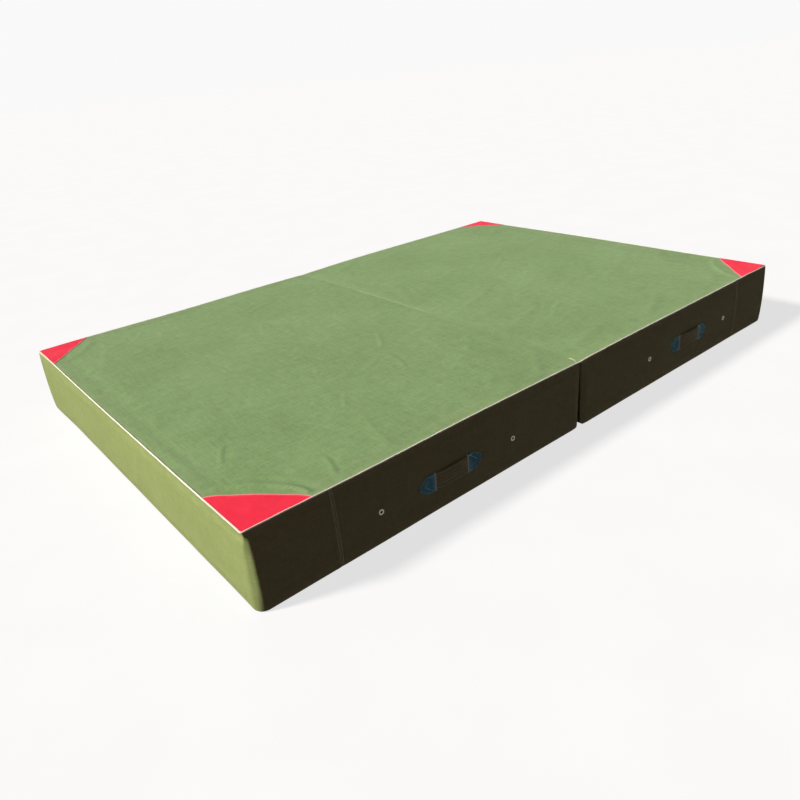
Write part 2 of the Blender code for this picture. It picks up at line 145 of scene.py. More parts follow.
def smoothstep(low, high, value):
    t = np.clip((value - low) / (high - low), 0.0, 1.0)
    return t * t * (3 - 2 * t)


def bell(distance, width):
    return np.exp(-((distance / width) ** 2))


def grid_normals(points):
    along = np.gradient(points, axis=0)
    across = np.gradient(points, axis=1)
    normals = np.cross(along, across)
    return normals / np.maximum(np.linalg.norm(normals, axis=2, keepdims=True), 1e-12)


def grid_faces(index):
    """Quads of a grid of point numbers, turned so that along x across is their normal."""
    corners = (index[:-1, :-1], index[1:, :-1], index[1:, 1:], index[:-1, 1:])
    return np.stack(corners, axis=-1).reshape(-1, 4).tolist()


def rim_faces(front, back, stride):
    """Closes one border: front holds every point along it, back every stride-th one."""
    faces = []
    for i in range(len(back) - 1):
        run = front[i * stride:(i + 1) * stride + 1].tolist()
        faces.append(run + [int(back[i + 1]), int(back[i])])
    return faces


def add_mesh(name, points, faces, material, layers=None, sharp=50, turn_out=False):
    """A mesh object. layers holds named point attributes: three numbers each, or one."""
    mesh = bpy.data.meshes.new(name)
    mesh.from_pydata(np.asarray(points, float).tolist(), [], faces)
    if turn_out:
        bm = bmesh.new()
        bm.from_mesh(mesh)
        bmesh.ops.recalc_face_normals(bm, faces=bm.faces)
        bm.to_mesh(mesh)
        bm.free()
    mesh.materials.append(material)
    for layer, values in (layers or {}).items():
        values = np.asarray(values, np.float32)
        kind = "FLOAT_VECTOR" if values.ndim > 1 else "FLOAT"
        field = "vector" if values.ndim > 1 else "value"
        mesh.attributes.new(layer, kind, "POINT").data.foreach_set(field, values.ravel())
    mesh.validate()
    mesh.shade_smooth()
    mesh.set_sharp_from_angle(angle=math.radians(sharp))
    piece = bpy.data.objects.new(name, mesh)
    bpy.context.scene.collection.objects.link(piece)
    return piece


def facing(points, cloth, extra, way):
    """Turns a grid over, if need be, so that its normals look the way given."""
    if np.sum(grid_normals(points) * np.asarray(way, float)) < 0:
        return points[::-1], cloth[::-1], {name: values[::-1] for name, values in extra.items()}
    return points, cloth, extra


def add_shell(name, points, cloth, material, way, thickness=CANVAS, stride=1, extra=None):
    """A sheet of cloth with both its sides and its cut edges, from a grid of points on its face."""
    points, cloth, extra = facing(points, cloth, extra or {}, way)
    inner = points[::stride, ::stride] - thickness * grid_normals(points)[::stride, ::stride]
    count = points.shape[0] * points.shape[1]
    front = np.arange(count).reshape(points.shape[:2])
    back = count + np.arange(inner.shape[0] * inner.shape[1]).reshape(inner.shape[:2])
    faces = grid_faces(front) + grid_faces(back[::-1])
    faces += rim_faces(front[0], back[0], stride)
    faces += [face[::-1] for face in rim_faces(front[-1], back[-1], stride)]
    faces += [face[::-1] for face in rim_faces(front[:, 0], back[:, 0], stride)]
    faces += rim_faces(front[:, -1], back[:, -1], stride)
    flat = cloth.shape[2]
    layers = {"cloth": np.concatenate([cloth.reshape(-1, flat),
                                       cloth[::stride, ::stride].reshape(-1, flat)])}
    for layer, values in extra.items():
        layers[layer] = np.concatenate([values.ravel(), values[::stride, ::stride].ravel()])
    every = np.concatenate([points.reshape(-1, 3), inner.reshape(-1, 3)])
    return add_mesh(name, every, faces, material, layers)


def flat_cloth(u, v):
    """Where each point lies on the flat cloth, in metres."""
    return np.stack([u, v, np.zeros_like(u)], axis=-1)


def stretch(start, end, cell):
    """Evenly spaced values from start to end, at about one per cell."""
    return np.linspace(start, end, max(2, round(abs(end - start) / cell) + 1))


def graded(start, end, cell, stride, fine_spots):
    """Values from start to end, a multiple of stride steps, closer round the fine spots (place, width,
    gain)."""
    samples = np.linspace(start, end, 6001)
    density = 1.0 + sum(gain * bell(samples - place, width) for place, width, gain in fine_spots)
    run = np.concatenate([[0.0], np.cumsum((density[1:] + density[:-1]) / 2)]) * (samples[1] - samples[0])
    count = stride * round(run[-1] / cell / stride)
    return np.interp(np.linspace(0.0, run[-1], count + 1), run, samples)


def add_tube(name, centres, radii, wear_stain_highlight, material, sides=10):
    """A closed loop of cord along centres that run round the mat, a little thicker and thinner by radii."""
    tangent = np.roll(centres, -1, axis=0) - np.roll(centres, 1, axis=0)
    tangent /= np.linalg.norm(tangent, axis=1, keepdims=True)
    out = np.cross(tangent, (0.0, 0.0, 1.0))
    out /= np.linalg.norm(out, axis=1, keepdims=True)
    up = np.cross(out, tangent)
    turn = 2 * np.pi * np.arange(sides) / sides
    ring = out[:, None] * np.cos(turn)[None, :, None] + up[:, None] * np.sin(turn)[None, :, None]
    points = centres[:, None] + ring * radii[:, None, None]
    steps = np.linalg.norm(np.roll(centres, -1, axis=0) - centres, axis=1)
    run = np.concatenate([[0.0], np.cumsum(steps)[:-1]])
    cloth = np.stack(np.broadcast_arrays(run[:, None], PIPING_RADIUS * turn[None, :], 0.0), axis=-1)
    index = np.arange(len(centres) * sides).reshape(len(centres), sides)
    index = np.vstack([index, index[:1]])
    index = np.hstack([index, index[:, :1]])
    layers = {"cloth": cloth.reshape(-1, 3), "wear_stain_highlight": np.repeat(wear_stain_highlight, sides)}
    return add_mesh(name, points.reshape(-1, 3), grid_faces(index), material, layers, turn_out=True)


def add_turned(name, profile, seat, axis, material, steps=48):
    """A closed profile of (radius, height) points, turned about an axis through the seat."""
    axis = np.asarray(axis, float) / np.linalg.norm(axis)
    side = np.cross(axis, (0.0, 0.0, 1.0))
    side /= np.linalg.norm(side)
    other = np.cross(axis, side)
    turn = 2 * np.pi * np.arange(steps) / steps
    spoke = side[None] * np.cos(turn)[:, None] + other[None] * np.sin(turn)[:, None]
    radius, height = np.array(profile).T
    points = np.asarray(seat) + spoke[:, None] * radius[None, :, None] + axis * height[None, :, None]
    index = np.arange(steps * len(profile)).reshape(steps, len(profile))
    index = np.vstack([index, index[:1]])
    index = np.hstack([index, index[:, :1]])
    return add_mesh(name, points.reshape(-1, 3), grid_faces(index), material, sharp=35, turn_out=True)


STITCH_RINGS = ((-1.0, 0.35), (-0.72, 0.85), (0.0, 1.0), (0.72, 0.85), (1.0, 0.35))
STITCH_SIDES = 6


def stitch_lumps(path, normals, pitch, radius, share):
    """Points and faces of a row of stitches along a path, each a short lump of thread lying on the
    cloth."""
    steps = np.linalg.norm(np.diff(path, axis=0), axis=1)
    run = np.concatenate([[0.0], np.cumsum(steps)])
    count = max(1, int(run[-1] / pitch))
    middle = (np.arange(count) + 0.5) * run[-1] / count
    centres = np.stack([np.interp(middle, run, path[:, k]) for k in range(3)], axis=-1)
    ahead = np.stack([np.interp(middle + 0.3 * pitch, run, path[:, k]) for k in range(3)], axis=-1)
    behind = np.stack([np.interp(middle - 0.3 * pitch, run, path[:, k]) for k in range(3)], axis=-1)
    lift = np.stack([np.interp(middle, run, normals[:, k]) for k in range(3)], axis=-1)
    lift /= np.linalg.norm(lift, axis=1, keepdims=True)
    along = ahead - behind
    along /= np.linalg.norm(along, axis=1, keepdims=True)
    across = np.cross(along, lift)
    turn = 2 * np.pi * np.arange(STITCH_SIDES) / STITCH_SIDES
    points, faces = [], []
    ring_count = len(STITCH_RINGS)
    template = np.arange(ring_count * STITCH_SIDES).reshape(ring_count, STITCH_SIDES)
    wrapped = np.hstack([template, template[:, :1]])
    local = grid_faces(wrapped) + [template[0].tolist(), template[-1][::-1].tolist()]
    for number in range(count):
        base = len(points) * ring_count * STITCH_SIDES
        rings = [
            centres[number] + lift[number] * 0.25 * radius + along[number] * (place * share * pitch / 2)
            + radius * swell * (np.outer(np.cos(turn), across[number])
                                + np.outer(np.sin(turn), lift[number]))
            for place, swell in STITCH_RINGS
        ]
        points.append(np.concatenate(rings))
        faces += [[base + i for i in face] for face in local]
    return np.concatenate(points), faces


def add_stitches(name, rows, pitch, material, radius=0.55 * MM, share=0.78):
    """Rows of stitches as one piece. Each row is (path, normals), or one normal for the whole row."""
    points, faces, count = [], [], 0
    for path, normals in rows:
        path = np.asarray(path, float)
        normals = np.broadcast_to(np.asarray(normals, float), path.shape)
        row_points, row_faces = stitch_lumps(path, normals, pitch, radius, share)
        faces += [[i + count for i in face] for face in row_faces]
        points.append(row_points)
        count += len(row_points)
    return add_mesh(name, np.concatenate(points), faces, material, sharp=80)


# ================================================================ materials


class Nodes:
    """Short names for adding nodes to a material and joining them."""

    def __init__(self, name):
        self.material = bpy.data.materials.new(name)
        self.material.use_nodes = True
        self.tree = self.material.node_tree
        self.shader = self.tree.nodes["Principled BSDF"]

    def add(self, kind, **settings):
        node = self.tree.nodes.new(kind)
        for key, value in settings.items():
            setattr(node, key, value)
        return node

    def put(self, socket, value):
        if isinstance(value, bpy.types.NodeSocket):
            self.tree.links.new(value, socket)
        else:
            socket.default_value = value

    def math(self, operation, *values):
        node = self.add("ShaderNodeMath", operation=operation)
        for socket, value in zip(node.inputs, values):
            self.put(socket, value)
        return node.outputs[0]

    def cloth(self):
        """Metres along the flat cloth."""
        return self.add("ShaderNodeAttribute", attribute_name="cloth").outputs["Vector"]

    def layer(self, name):
        return self.add("ShaderNodeAttribute", attribute_name=name).outputs["Fac"]

    def scaled(self, vector, scale):
        node = self.add("ShaderNodeMapping")
        self.put(node.inputs["Vector"], vector)
        node.inputs["Scale"].default_value = scale
        return node.outputs[0]

    def noise(self, vector, scale, detail=3.0, roughness=0.55):
        node = self.add("ShaderNodeTexNoise")
        self.put(node.inputs["Vector"], vector)
        node.inputs["Scale"].default_value = scale
        node.inputs["Detail"].default_value = detail
        node.inputs["Roughness"].default_value = roughness
        return node.outputs["Fac"]

    def fit(self, value, low, high, to_low=0.0, to_high=1.0):
        node = self.add("ShaderNodeMapRange")
        for socket, number in zip(node.inputs, (value, low, high, to_low, to_high)):
            self.put(socket, number)
        return node.outputs[0]

    def mix(self, share, first, second, blend="MIX"):
        node = self.add("ShaderNodeMix", data_type="RGBA", blend_type=blend)
        sockets = (node.inputs["Factor"], node.inputs[6], node.inputs[7])
        for socket, value in zip(sockets, (share, first, second)):
            self.put(socket, value)
        return node.outputs[2]

    def bump(self, height, distance, strength=1.0, normal=None):
        node = self.add("ShaderNodeBump")
        node.inputs["Strength"].default_value = strength
        node.inputs["Distance"].default_value = distance
        self.put(node.inputs["Height"], height)
        if normal is not None:
            self.put(node.inputs["Normal"], normal)
        return node.outputs[0]

    def finish(self, colour, roughness, normal=None, **fixed):
        self.put(self.shader.inputs["Base Color"], colour)
        self.put(self.shader.inputs["Roughness"], roughness)
        if normal is not None:
            self.put(self.shader.inputs["Normal"], normal)
        for socket, value in fixed.items():
            self.shader.inputs[socket.replace("_", " ")].default_value = value
        return self.material


def rgb(red, green, blue):
    """A linear colour from its 8-bit screen values."""
    return (tuple(((c / 255 + 0.055) / 1.055) ** 2.4 if c > 10 else c / 3294.6 for c in (red, green, blue))
            + (1.0,))


def woven(name, dark, light, pale_wear_highlight, dusty, pitch=1.1 * MM, weave=0.16 * MM, sheen=0.12):
    """Plain-woven cotton canvas: threads, slubs that run with the threads, fading, worn edges, painted
    highlights along seams and the fold line, and painted shade in the weave's hollows.
    """
    n = Nodes(name)
    cloth = n.cloth()
    axes = n.add("ShaderNodeSeparateXYZ")
    n.put(axes.inputs[0], cloth)
    turn = math.pi / pitch
    warp = n.math("SINE", n.math("MULTIPLY", axes.outputs[0], turn))
    weft = n.math("SINE", n.math("MULTIPLY", axes.outputs[1], turn))
    over = n.math("MULTIPLY", warp, weft)
    long_slub = n.noise(n.scaled(cloth, (9.0, 150.0, 1.0)), 1.0, 4.0, 0.6)
    cross_slub = n.noise(n.scaled(cloth, (150.0, 9.0, 1.0)), 1.0, 4.0, 0.6)
    slub = n.math("MULTIPLY", n.math("ADD", long_slub, cross_slub), 0.5)
    patchy = n.noise(cloth, 2.2, 4.0, 0.6)
    mottle = n.noise(cloth, 26.0, 3.0, 0.6)
    grain = n.noise(n.scaled(cloth, (70.0, 130.0, 1.0)), 1.0, 3.0, 0.7)
    tone = n.math("ADD", n.math("MULTIPLY", slub, 0.42), n.math("MULTIPLY", patchy, 0.22))
    tone = n.math("ADD", tone, n.math("MULTIPLY", mottle, 0.16))
    tone = n.math("ADD", tone, n.math("MULTIPLY", grain, 0.26))
    colour = n.mix(n.fit(tone, 0.39, 0.66), dark, light)
    # The point layer pales the canvas for wear at its edges, and as a painted highlight along the walls'
    # seams and the top's fold line.
    colour = n.mix(n.math("MULTIPLY", n.layer("wear_stain_highlight"), 0.55), colour, pale_wear_highlight)
    dust = n.math("MULTIPLY", n.layer("dust"), n.fit(n.noise(cloth, 7.0, 4.0), 0.35, 0.7))
    colour = n.mix(n.math("MULTIPLY", dust, 0.5), colour, dusty)
    # Darkens the canvas where the weave dips, in step with its bump: painted shade in the weave's hollows.
    colour = n.mix(1.0, colour, n.fit(over, -1.0, 1.0, 0.94, 1.0), "MULTIPLY")
    colour = n.mix(n.fit(n.noise(cloth, 55.0, 1.0), 0.80, 0.84, 0.0, 0.5), colour, pale_wear_highlight)
    roughness = n.fit(n.noise(cloth, 60.0), 0.3, 0.7, 0.80, 0.92)
    normal = n.bump(over, weave, 0.6)
    normal = n.bump(slub, 0.9 * MM, 0.55, normal)
    return n.finish(colour, roughness, normal, Sheen_Weight=sheen, Sheen_Roughness=0.45,
                    Specular_IOR_Level=0.05)


def coated(name, base, shade, hem, pitch=1.6 * MM):
    """Coated cloth of the corner and handle patches, with a paler folded hem where the layer says so."""
    n = Nodes(name)
    cloth = n.cloth()
    axes = n.add("ShaderNodeSeparateXYZ")
    n.put(axes.inputs[0], cloth)
    turn = math.pi / pitch
    warp = n.math("SINE", n.math("MULTIPLY", axes.outputs[0], turn))
    weft = n.math("SINE", n.math("MULTIPLY", axes.outputs[1], turn))
    grain = n.math("MULTIPLY", warp, weft)
    cloudy = n.noise(cloth, 14.0, 4.0, 0.6)
    colour = n.mix(n.fit(cloudy, 0.35, 0.68), base, shade)
    colour = n.mix(n.layer("hem"), colour, hem)
    scuff = n.fit(n.noise(cloth, 90.0, 5.0, 0.7), 0.62, 0.75)
    colour = n.mix(n.math("MULTIPLY", scuff, 0.18), colour, hem)
    roughness = n.fit(cloudy, 0.3, 0.7, 0.50, 0.66)
    normal = n.bump(grain, 0.10 * MM, 0.5)
    normal = n.bump(cloudy, 1.2 * MM, 0.4, normal)
    return n.finish(colour, roughness, normal, Sheen_Weight=0.10, Sheen_Roughness=0.4,
                    Specular_IOR_Level=0.06)


def cord_finish(name, base, shade, blush):
    """Piping: bias-cut tape wound over a cord, with slanting threads and grime in them."""
    n = Nodes(name)
    cloth = n.cloth()
    wave = n.add("ShaderNodeTexWave", wave_type="BANDS", bands_direction="DIAGONAL")
    n.put(wave.inputs["Vector"], cloth)
    wave.inputs["Scale"].default_value = 260.0
    wave.inputs["Distortion"].default_value = 1.5
    grime = n.noise(cloth, 9.0, 5.0, 0.65)
    colour = n.mix(n.fit(grime, 0.42, 0.72), base, shade)
    colour = n.mix(n.math("MULTIPLY", n.layer("wear_stain_highlight"), 0.5), colour, blush)
    roughness = n.fit(grime, 0.3, 0.7, 0.55, 0.75)
    normal = n.bump(wave.outputs["Fac"], 0.15 * MM, 0.5)
    return n.finish(colour, roughness, normal, Sheen_Weight=0.08, Specular_IOR_Level=0.15)


def thread_finish(name, colour, shade):
    """Sewing thread: two plies, told by a fine slanting bump."""
    n = Nodes(name)
    place = n.add("ShaderNodeTexCoord").outputs["Object"]
    ply = n.noise(place, 900.0, 2.0)
    tint = n.mix(n.fit(ply, 0.35, 0.65), colour, shade)
    return n.finish(tint, n.fit(ply, 0.3, 0.7, 0.55, 0.75), n.bump(ply, 0.1 * MM, 0.5), Sheen_Weight=0.1)


def foam_finish(name, base, shade, cell):
    """Open-cell foam: pores of a few sizes, darker in their hollows as painted shade."""
    n = Nodes(name)
    place = n.add("ShaderNodeTexCoord").outputs["Object"]
    pores = n.add("ShaderNodeTexVoronoi", feature="F1")
    n.put(pores.inputs["Vector"], place)
    pores.inputs["Scale"].default_value = 1 / cell
    hole = n.fit(pores.outputs["Distance"], 0.15, 0.55)
    grain = n.noise(place, 160.0, 4.0)
    # The pores take the darker colour: painted shade in their hollows.
    colour = n.mix(n.math("MULTIPLY", hole, n.fit(grain, 0.3, 0.7, 0.6, 1.0)), shade, base)
    return n.finish(colour, n.fit(grain, 0.3, 0.7, 0.88, 0.98), n.bump(hole, 1.0 * MM, 0.8),
                    Specular_IOR_Level=0.1)


def metal_finish(name, base, dull):
    """Nickel plate: fine scratches, dull spots and fingerprints in its gloss."""
    n = Nodes(name)
    place = n.add("ShaderNodeTexCoord").outputs["Object"]
    scratch = n.noise(n.scaled(place, (1.0, 1.0, 14.0)), 260.0, 3.0, 0.7)
    spots = n.noise(place, 90.0, 4.0, 0.6)
    colour = n.mix(n.fit(spots, 0.45, 0.75), base, dull)
    roughness = n.math("ADD", n.fit(spots, 0.3, 0.75, 0.28, 0.5), n.fit(scratch, 0.3, 0.7, -0.05, 0.08))
    return n.finish(colour, roughness, n.bump(scratch, 0.04 * MM, 0.4), Metallic=1.0)


def coil_finish(name, base, shade):
    """Moulded nylon of the zip's teeth."""
    n = Nodes(name)
    place = n.add("ShaderNodeTexCoord").outputs["Object"]
    grain = n.noise(place, 700.0, 3.0)
    colour = n.mix(n.fit(grain, 0.4, 0.7), base, shade)
    return n.finish(colour, n.fit(grain, 0.3, 0.7, 0.35, 0.55), n.bump(grain, 0.1 * MM, 0.3))


def floor_finish():
    """Pale studio floor, with a glow of its own that keeps the shadow on it soft."""
    n = Nodes("pale_floor")
    place = n.add("ShaderNodeTexCoord").outputs["Object"]
    cloudy = n.noise(place, 3.0, 4.0)
    colour = n.mix(n.fit(cloudy, 0.3, 0.7), (0.24, 0.242, 0.25, 1), (0.26, 0.262, 0.27, 1))
    glow = {"Specular_IOR_Level": 0.0, "Emission_Color": (1, 1, 1, 1), "Emission_Strength": FLOOR_GLOW}
    return n.finish(colour, n.fit(cloudy, 0.3, 0.7, 0.85, 0.95), **glow)


def backdrop_finish():
    n = Nodes("white_backdrop")
    place = n.add("ShaderNodeTexCoord").outputs["Object"]
    shade = n.fit(n.noise(place, 0.05, 2.0), 0.3, 0.7, 0.9, 1.0)
    return n.finish((0, 0, 0, 1), shade, Specular_IOR_Level=0.0, Emission_Color=(1, 1, 1, 1),
                    Emission_Strength=0.95)


# The top canvas is tinted greener and bluer than the walls' canvas: partly the panels' own colour, partly
# painted skylight on the upward face.
GREEN_TOP = woven(
    "top_canvas", rgb(117, 147, 91), rgb(152, 184, 128), rgb(176, 194, 146), rgb(154, 152, 120))
GREEN_SIDE = woven(
    "side_canvas", rgb(140, 154, 90), rgb(165, 180, 113), rgb(184, 196, 140), rgb(156, 152, 98))
# The fold faces take a darker copy of the wall canvas: painted shade for the slot between the halves, where
# little light gets in.
SHADED_FOLD_CANVAS = woven(
    "fold_canvas_painted_shade", rgb(72, 80, 46), rgb(90, 98, 58), rgb(128, 138, 94), rgb(112, 110, 74))
DARK_BASE = woven(
    "base_canvas", rgb(56, 60, 44), rgb(74, 78, 58), rgb(98, 100, 82), rgb(128, 120, 98), pitch=1.6 * MM)
STRAP_WEB = woven(
    "strap_webbing", rgb(138, 150, 88), rgb(166, 178, 112), rgb(178, 186, 134), rgb(150, 142, 110),
    pitch=1.8 * MM, weave=0.35 * MM)
ZIP_TAPE = woven(
    "zip_tape", rgb(84, 92, 56), rgb(102, 110, 70), rgb(120, 126, 88), rgb(130, 124, 98), pitch=0.9 * MM)
RED = coated("red_patch", rgb(255, 50, 78), rgb(250, 42, 72), rgb(255, 160, 166))
BLUE = coated("blue_patch", rgb(84, 168, 172), rgb(66, 146, 158), rgb(220, 244, 236))
PIPING = cord_finish("piping", rgb(252, 252, 236), rgb(232, 234, 206), rgb(255, 205, 196))
BLUE_THREAD = thread_finish("blue_thread", rgb(196, 244, 244), rgb(166, 226, 230))
RED_THREAD = thread_finish("red_thread", rgb(246, 96, 112), rgb(226, 70, 90))
GREEN_THREAD = thread_finish("green_thread", rgb(238, 240, 214), rgb(206, 210, 178))
FOAM = foam_finish("soft_foam", rgb(226, 214, 182), rgb(176, 160, 122), 2.5 * MM)
FIRM_FOAM = foam_finish("firm_foam", rgb(150, 158, 166), rgb(104, 112, 122), 1.2 * MM)
NICKEL = metal_finish("nickel", rgb(144, 140, 126), rgb(106, 102, 90))
COIL = coil_finish("zip_coil", rgb(84, 90, 62), rgb(62, 68, 46))


# ================================================================ cloth simulation


class LaidCloth:
    """Canvas cut a little too large, sewn down round its edge and laid on foam by the cloth solver."""

    def __init__(self, length, width, slack, phase):
        self.steps = [round(length / LAID_CELL), round(width / LAID_CELL)]
        self.cells = (length / self.steps[0], width / self.steps[1])
        self.heights = self.simulate(length, width, slack, phase)

    def simulate(self, length, width, slack, phase):
        along, across = (np.linspace(0.0, size, n + 1) for size, n in zip((length, width), self.steps))
        x, y = np.meshgrid(along, across, indexing="ij")
        gap = np.minimum(np.minimum(x, length - x), np.minimum(y, width - y))
        ruffle = np.sin(9 * x + 3 * np.sin(5 * y) + phase) * np.sin(8 * y + 2 * np.sin(7 * x))
        ruffle = 2.0 * MM * ruffle + 1.2 * MM * np.sin(23 * x - 17 * y + phase) * np.sin(19 * y + 11 * x)
        start = (ruffle + 3 * MM) * smoothstep(0.0, 0.05, gap)
        cloth = add_mesh("laid_cloth", np.stack([x, y, start], axis=-1).reshape(-1, 3),
                         grid_faces(np.arange(x.size).reshape(x.shape)), FOAM)
        seam = cloth.vertex_groups.new(name="seam")
        seam.add(np.flatnonzero(gap.ravel() < 1e-6).tolist(), 1.0, "REPLACE")
        bed_corners = [(-1, -1, -4 * MM), (length + 1, -1, -4 * MM), (length + 1, width + 1, -4 * MM),
                       (-1, width + 1, -4 * MM)]
        bed = add_mesh("laid_bed", bed_corners, [(0, 1, 2, 3)], FOAM)
        bed.modifiers.new("bed", "COLLISION")
        bed.collision.thickness_outer = 2 * MM
        self.set_up_solver(cloth, slack)
        for number in range(1, LAID_FRAMES + 1):
            bpy.context.scene.frame_set(number)
        apply_modifiers(cloth)
        heights = np.array([corner.co.z for corner in cloth.data.vertices]).reshape(x.shape)
        for piece in (cloth, bed):
            bpy.data.objects.remove(piece)
        bpy.context.scene.frame_set(1)
        return LAID_CAP * np.tanh(heights / LAID_CAP)

    def set_up_solver(self, cloth, slack):
        modifier = cloth.modifiers.new("canvas", "CLOTH")
        modifier.point_cache.frame_start = 1
        modifier.point_cache.frame_end = LAID_FRAMES
        solver = modifier.settings
        solver.quality = 5
        solver.mass = 0.1
        solver.tension_stiffness = 30
        solver.compression_stiffness = 30
        solver.shear_stiffness = 15
        solver.bending_stiffness = 0.8
        solver.shrink_min = -slack
        solver.shrink_max = -slack
        solver.vertex_group_mass = "seam"
        modifier.collision_settings.distance_min = 2 * MM

    def rise(self, u, v):
        """Height of the laid cloth at places in metres along and across it, through a cubic B-spline."""
        total = np.zeros_like(np.asarray(u, float))
        padded = np.pad(self.heights, 2, mode="edge")
        place_u, place_v = np.asarray(u) / self.cells[0], np.asarray(v) / self.cells[1]
        cell_u = np.clip(np.floor(place_u).astype(int), 0, self.steps[0] - 1)
        cell_v = np.clip(np.floor(place_v).astype(int), 0, self.steps[1] - 1)
        for i, weight_u in enumerate(spline_weights(np.clip(place_u - cell_u, 0.0, 1.0))):
            for j, weight_v in enumerate(spline_weights(np.clip(place_v - cell_v, 0.0, 1.0))):
                total += weight_u * weight_v * padded[cell_u + i + 1, cell_v + j + 1]
        return total


def spline_weights(t):
    return (1 - t) ** 3 / 6, (3 * t**3 - 6 * t**2 + 4) / 6, (1 + 3 * t + 3 * t**2 - 3 * t**3) / 6, t**3 / 6


def apply_modifiers(piece):
    """Writes the piece's evaluated mesh back, so that no modifier is left."""
    evaluated = piece.evaluated_get(bpy.context.evaluated_depsgraph_get())
    mesh = bpy.data.meshes.new_from_object(evaluated)
    piece.modifiers.clear()
    piece.data = mesh


TOP_CLOTH = {side: LaidCloth(LENGTH_OUT, 2 * WIDTH_OUT, TOP_SLACK, 2.0 * sign)
             for side, sign in SIDES.items()}
END_CLOTH = {side: LaidCloth(2 * WIDTH_OUT, WALL_TOP, WALL_SLACK, sign) for side, sign in SIDES.items()}
SIDE_CLOTH = {
    (side, face): LaidCloth(LENGTH_OUT, WALL_TOP, WALL_SLACK, sign + 2.5 * way)
    for side, sign in SIDES.items() for face, way in FACES.items()
}


# ================================================================ the filled form


def drift(x, y):
    """Slow unevenness of the whole mat, from -1 to 1."""
    first = np.sin(4.3 * x + 0.9) * np.cos(0.9 * y + 0.4)
    second = np.sin(2.9 * y + 1.7 * x - 0.8)
    third = np.sin(7.9 * x - 4.1 * y + 2.0)
    return 0.55 * first + 0.30 * second + 0.15 * third


# Slow rises and sags of the top edge: place in (x, y), reach, height in millimetres.
RIM_SAGS = (
    ((-1.5, 1.0), 0.50, 11.0),
    ((1.5, 1.0), 0.60, -6.0),
    ((-1.5, -1.0), 0.25, 4.0),
    ((1.5, -1.0), 0.40, 4.0),
    ((0.0, -1.0), 0.24, -3.5),
    ((0.0, 1.0), 0.22, -4.0),
    ((-0.66, -1.0), 0.28, 3.0),
    ((0.75, -1.0), 0.35, 2.0),
)


def rim_lift(x, y):
    """How far the top edge rises above or sinks below its level. It dips sharply just where it meets
    the fold."""
    lift = RIM_WAVE * drift(x, y) - FOLD_DIP * bell(x + 0.012, 0.030)
    for place, reach, height in RIM_SAGS:
        lift = lift + height * MM * bell(np.hypot(x - place[0], y - place[1]), reach)
    return lift


# Creases in the top: ends in (x, y), half width, height in millimetres, and bow to one side.
# A valley runs beside each ridge, on the other side where the half width is negative.
CREASES = (
    ((-1.246, -1.000), (-1.490, -0.715), -0.013, 7.5, -0.046),
    ((-1.255, -0.985), (-1.300, -0.850), 0.009, 2.6, -0.012),
    ((-1.108, -0.835), (-1.144, -0.955), 0.009, 2.4, 0.004),
    ((-1.300, -0.510), (-1.368, -0.630), 0.009, 2.4, -0.006),
    ((-1.445, -0.600), (-1.465, -0.300), 0.018, 1.8, 0.010),
    ((-0.44, -0.31), (-0.22, -0.44), 0.010, 1.8, 0.010),
    ((-0.46, -0.30), (-0.66, -0.18), 0.011, 1.8, -0.012),
    ((-0.45, -0.33), (-0.50, -0.54), 0.010, 1.7, 0.012),
    ((-0.43, -0.28), (-0.32, -0.10), 0.010, 1.6, -0.010),
    ((-0.48, -0.34), (-0.68, -0.42), 0.010, 1.4, 0.010),
    ((-0.92, 0.20), (-1.01, 0.39), 0.010, 1.6, 0.010),
    ((-1.20, 0.30), (-1.06, 0.20), 0.010, 1.4, 0.008),
    ((-0.60, 0.62), (-0.36, 0.70), 0.012, 1.3, 0.012),
    ((-0.86, -0.62), (-0.78, -0.50), 0.009, 1.6, 0.008),
    ((0.30, -0.62), (0.52, -0.50), 0.012, 1.5, 0.010),
    ((0.66, 0.10), (0.90, 0.24), 0.012, 1.3, -0.012),
    ((1.252, -0.985), (1.470, -0.742), 0.017, 3.2, 0.040),
    ((-1.262, 0.985), (-1.470, 0.742), 0.020, 1.4, 0.040),
    ((1.252, 0.985), (1.470, 0.742), -0.017, 3.0, -0.040),
)


def crease(x, y, start, end, width, height, bow):
    """A soft ridge along a slightly bowed line, with a shallow valley on one side."""
    start, end = np.array(start), np.array(end)
    span = np.linalg.norm(end - start)
    along = (end - start) / span
    t = ((x - start[0]) * along[0] + (y - start[1]) * along[1]) / span
    off = -(x - start[0]) * along[1] + (y - start[1]) * along[0]
    inside = np.clip(t, 0.0, 1.0)
    off = off - bow * 4 * inside * (1 - inside)
    beyond = (t - inside) * span
    ends = smoothstep(0.0, 0.18, t) * smoothstep(1.0, 0.82, t)
    ridge = bell(off, width) - 0.5 * bell(off - 1.7 * width, 1.2 * width)
    return height * MM * ridge * ends * bell(beyond, width)


def small_creases(x, y):
    """Many short faint creases, from a fixed seed, most of them along the threads."""
    draw = np.random.RandomState(11)
    total = np.zeros_like(x)
    for _ in range(150):
        centre = draw.uniform((-1.42, -0.92), (1.42, 0.92))
        angle = draw.choice((0.0, math.pi / 2)) + draw.normal(0.0, 0.45)
        half = draw.uniform(0.03, 0.10)
        reach = half * np.array((math.cos(angle), math.sin(angle)))
        width, height, bow = draw.uniform((0.007, 0.35, -0.015), (0.014, 1.05, 0.015))
        near = (np.abs(x - centre[0]) < 0.22) & (np.abs(y - centre[1]) < 0.22)
        total[near] += crease(x[near], y[near], centre - reach, centre + reach, width, height, bow)
    return total


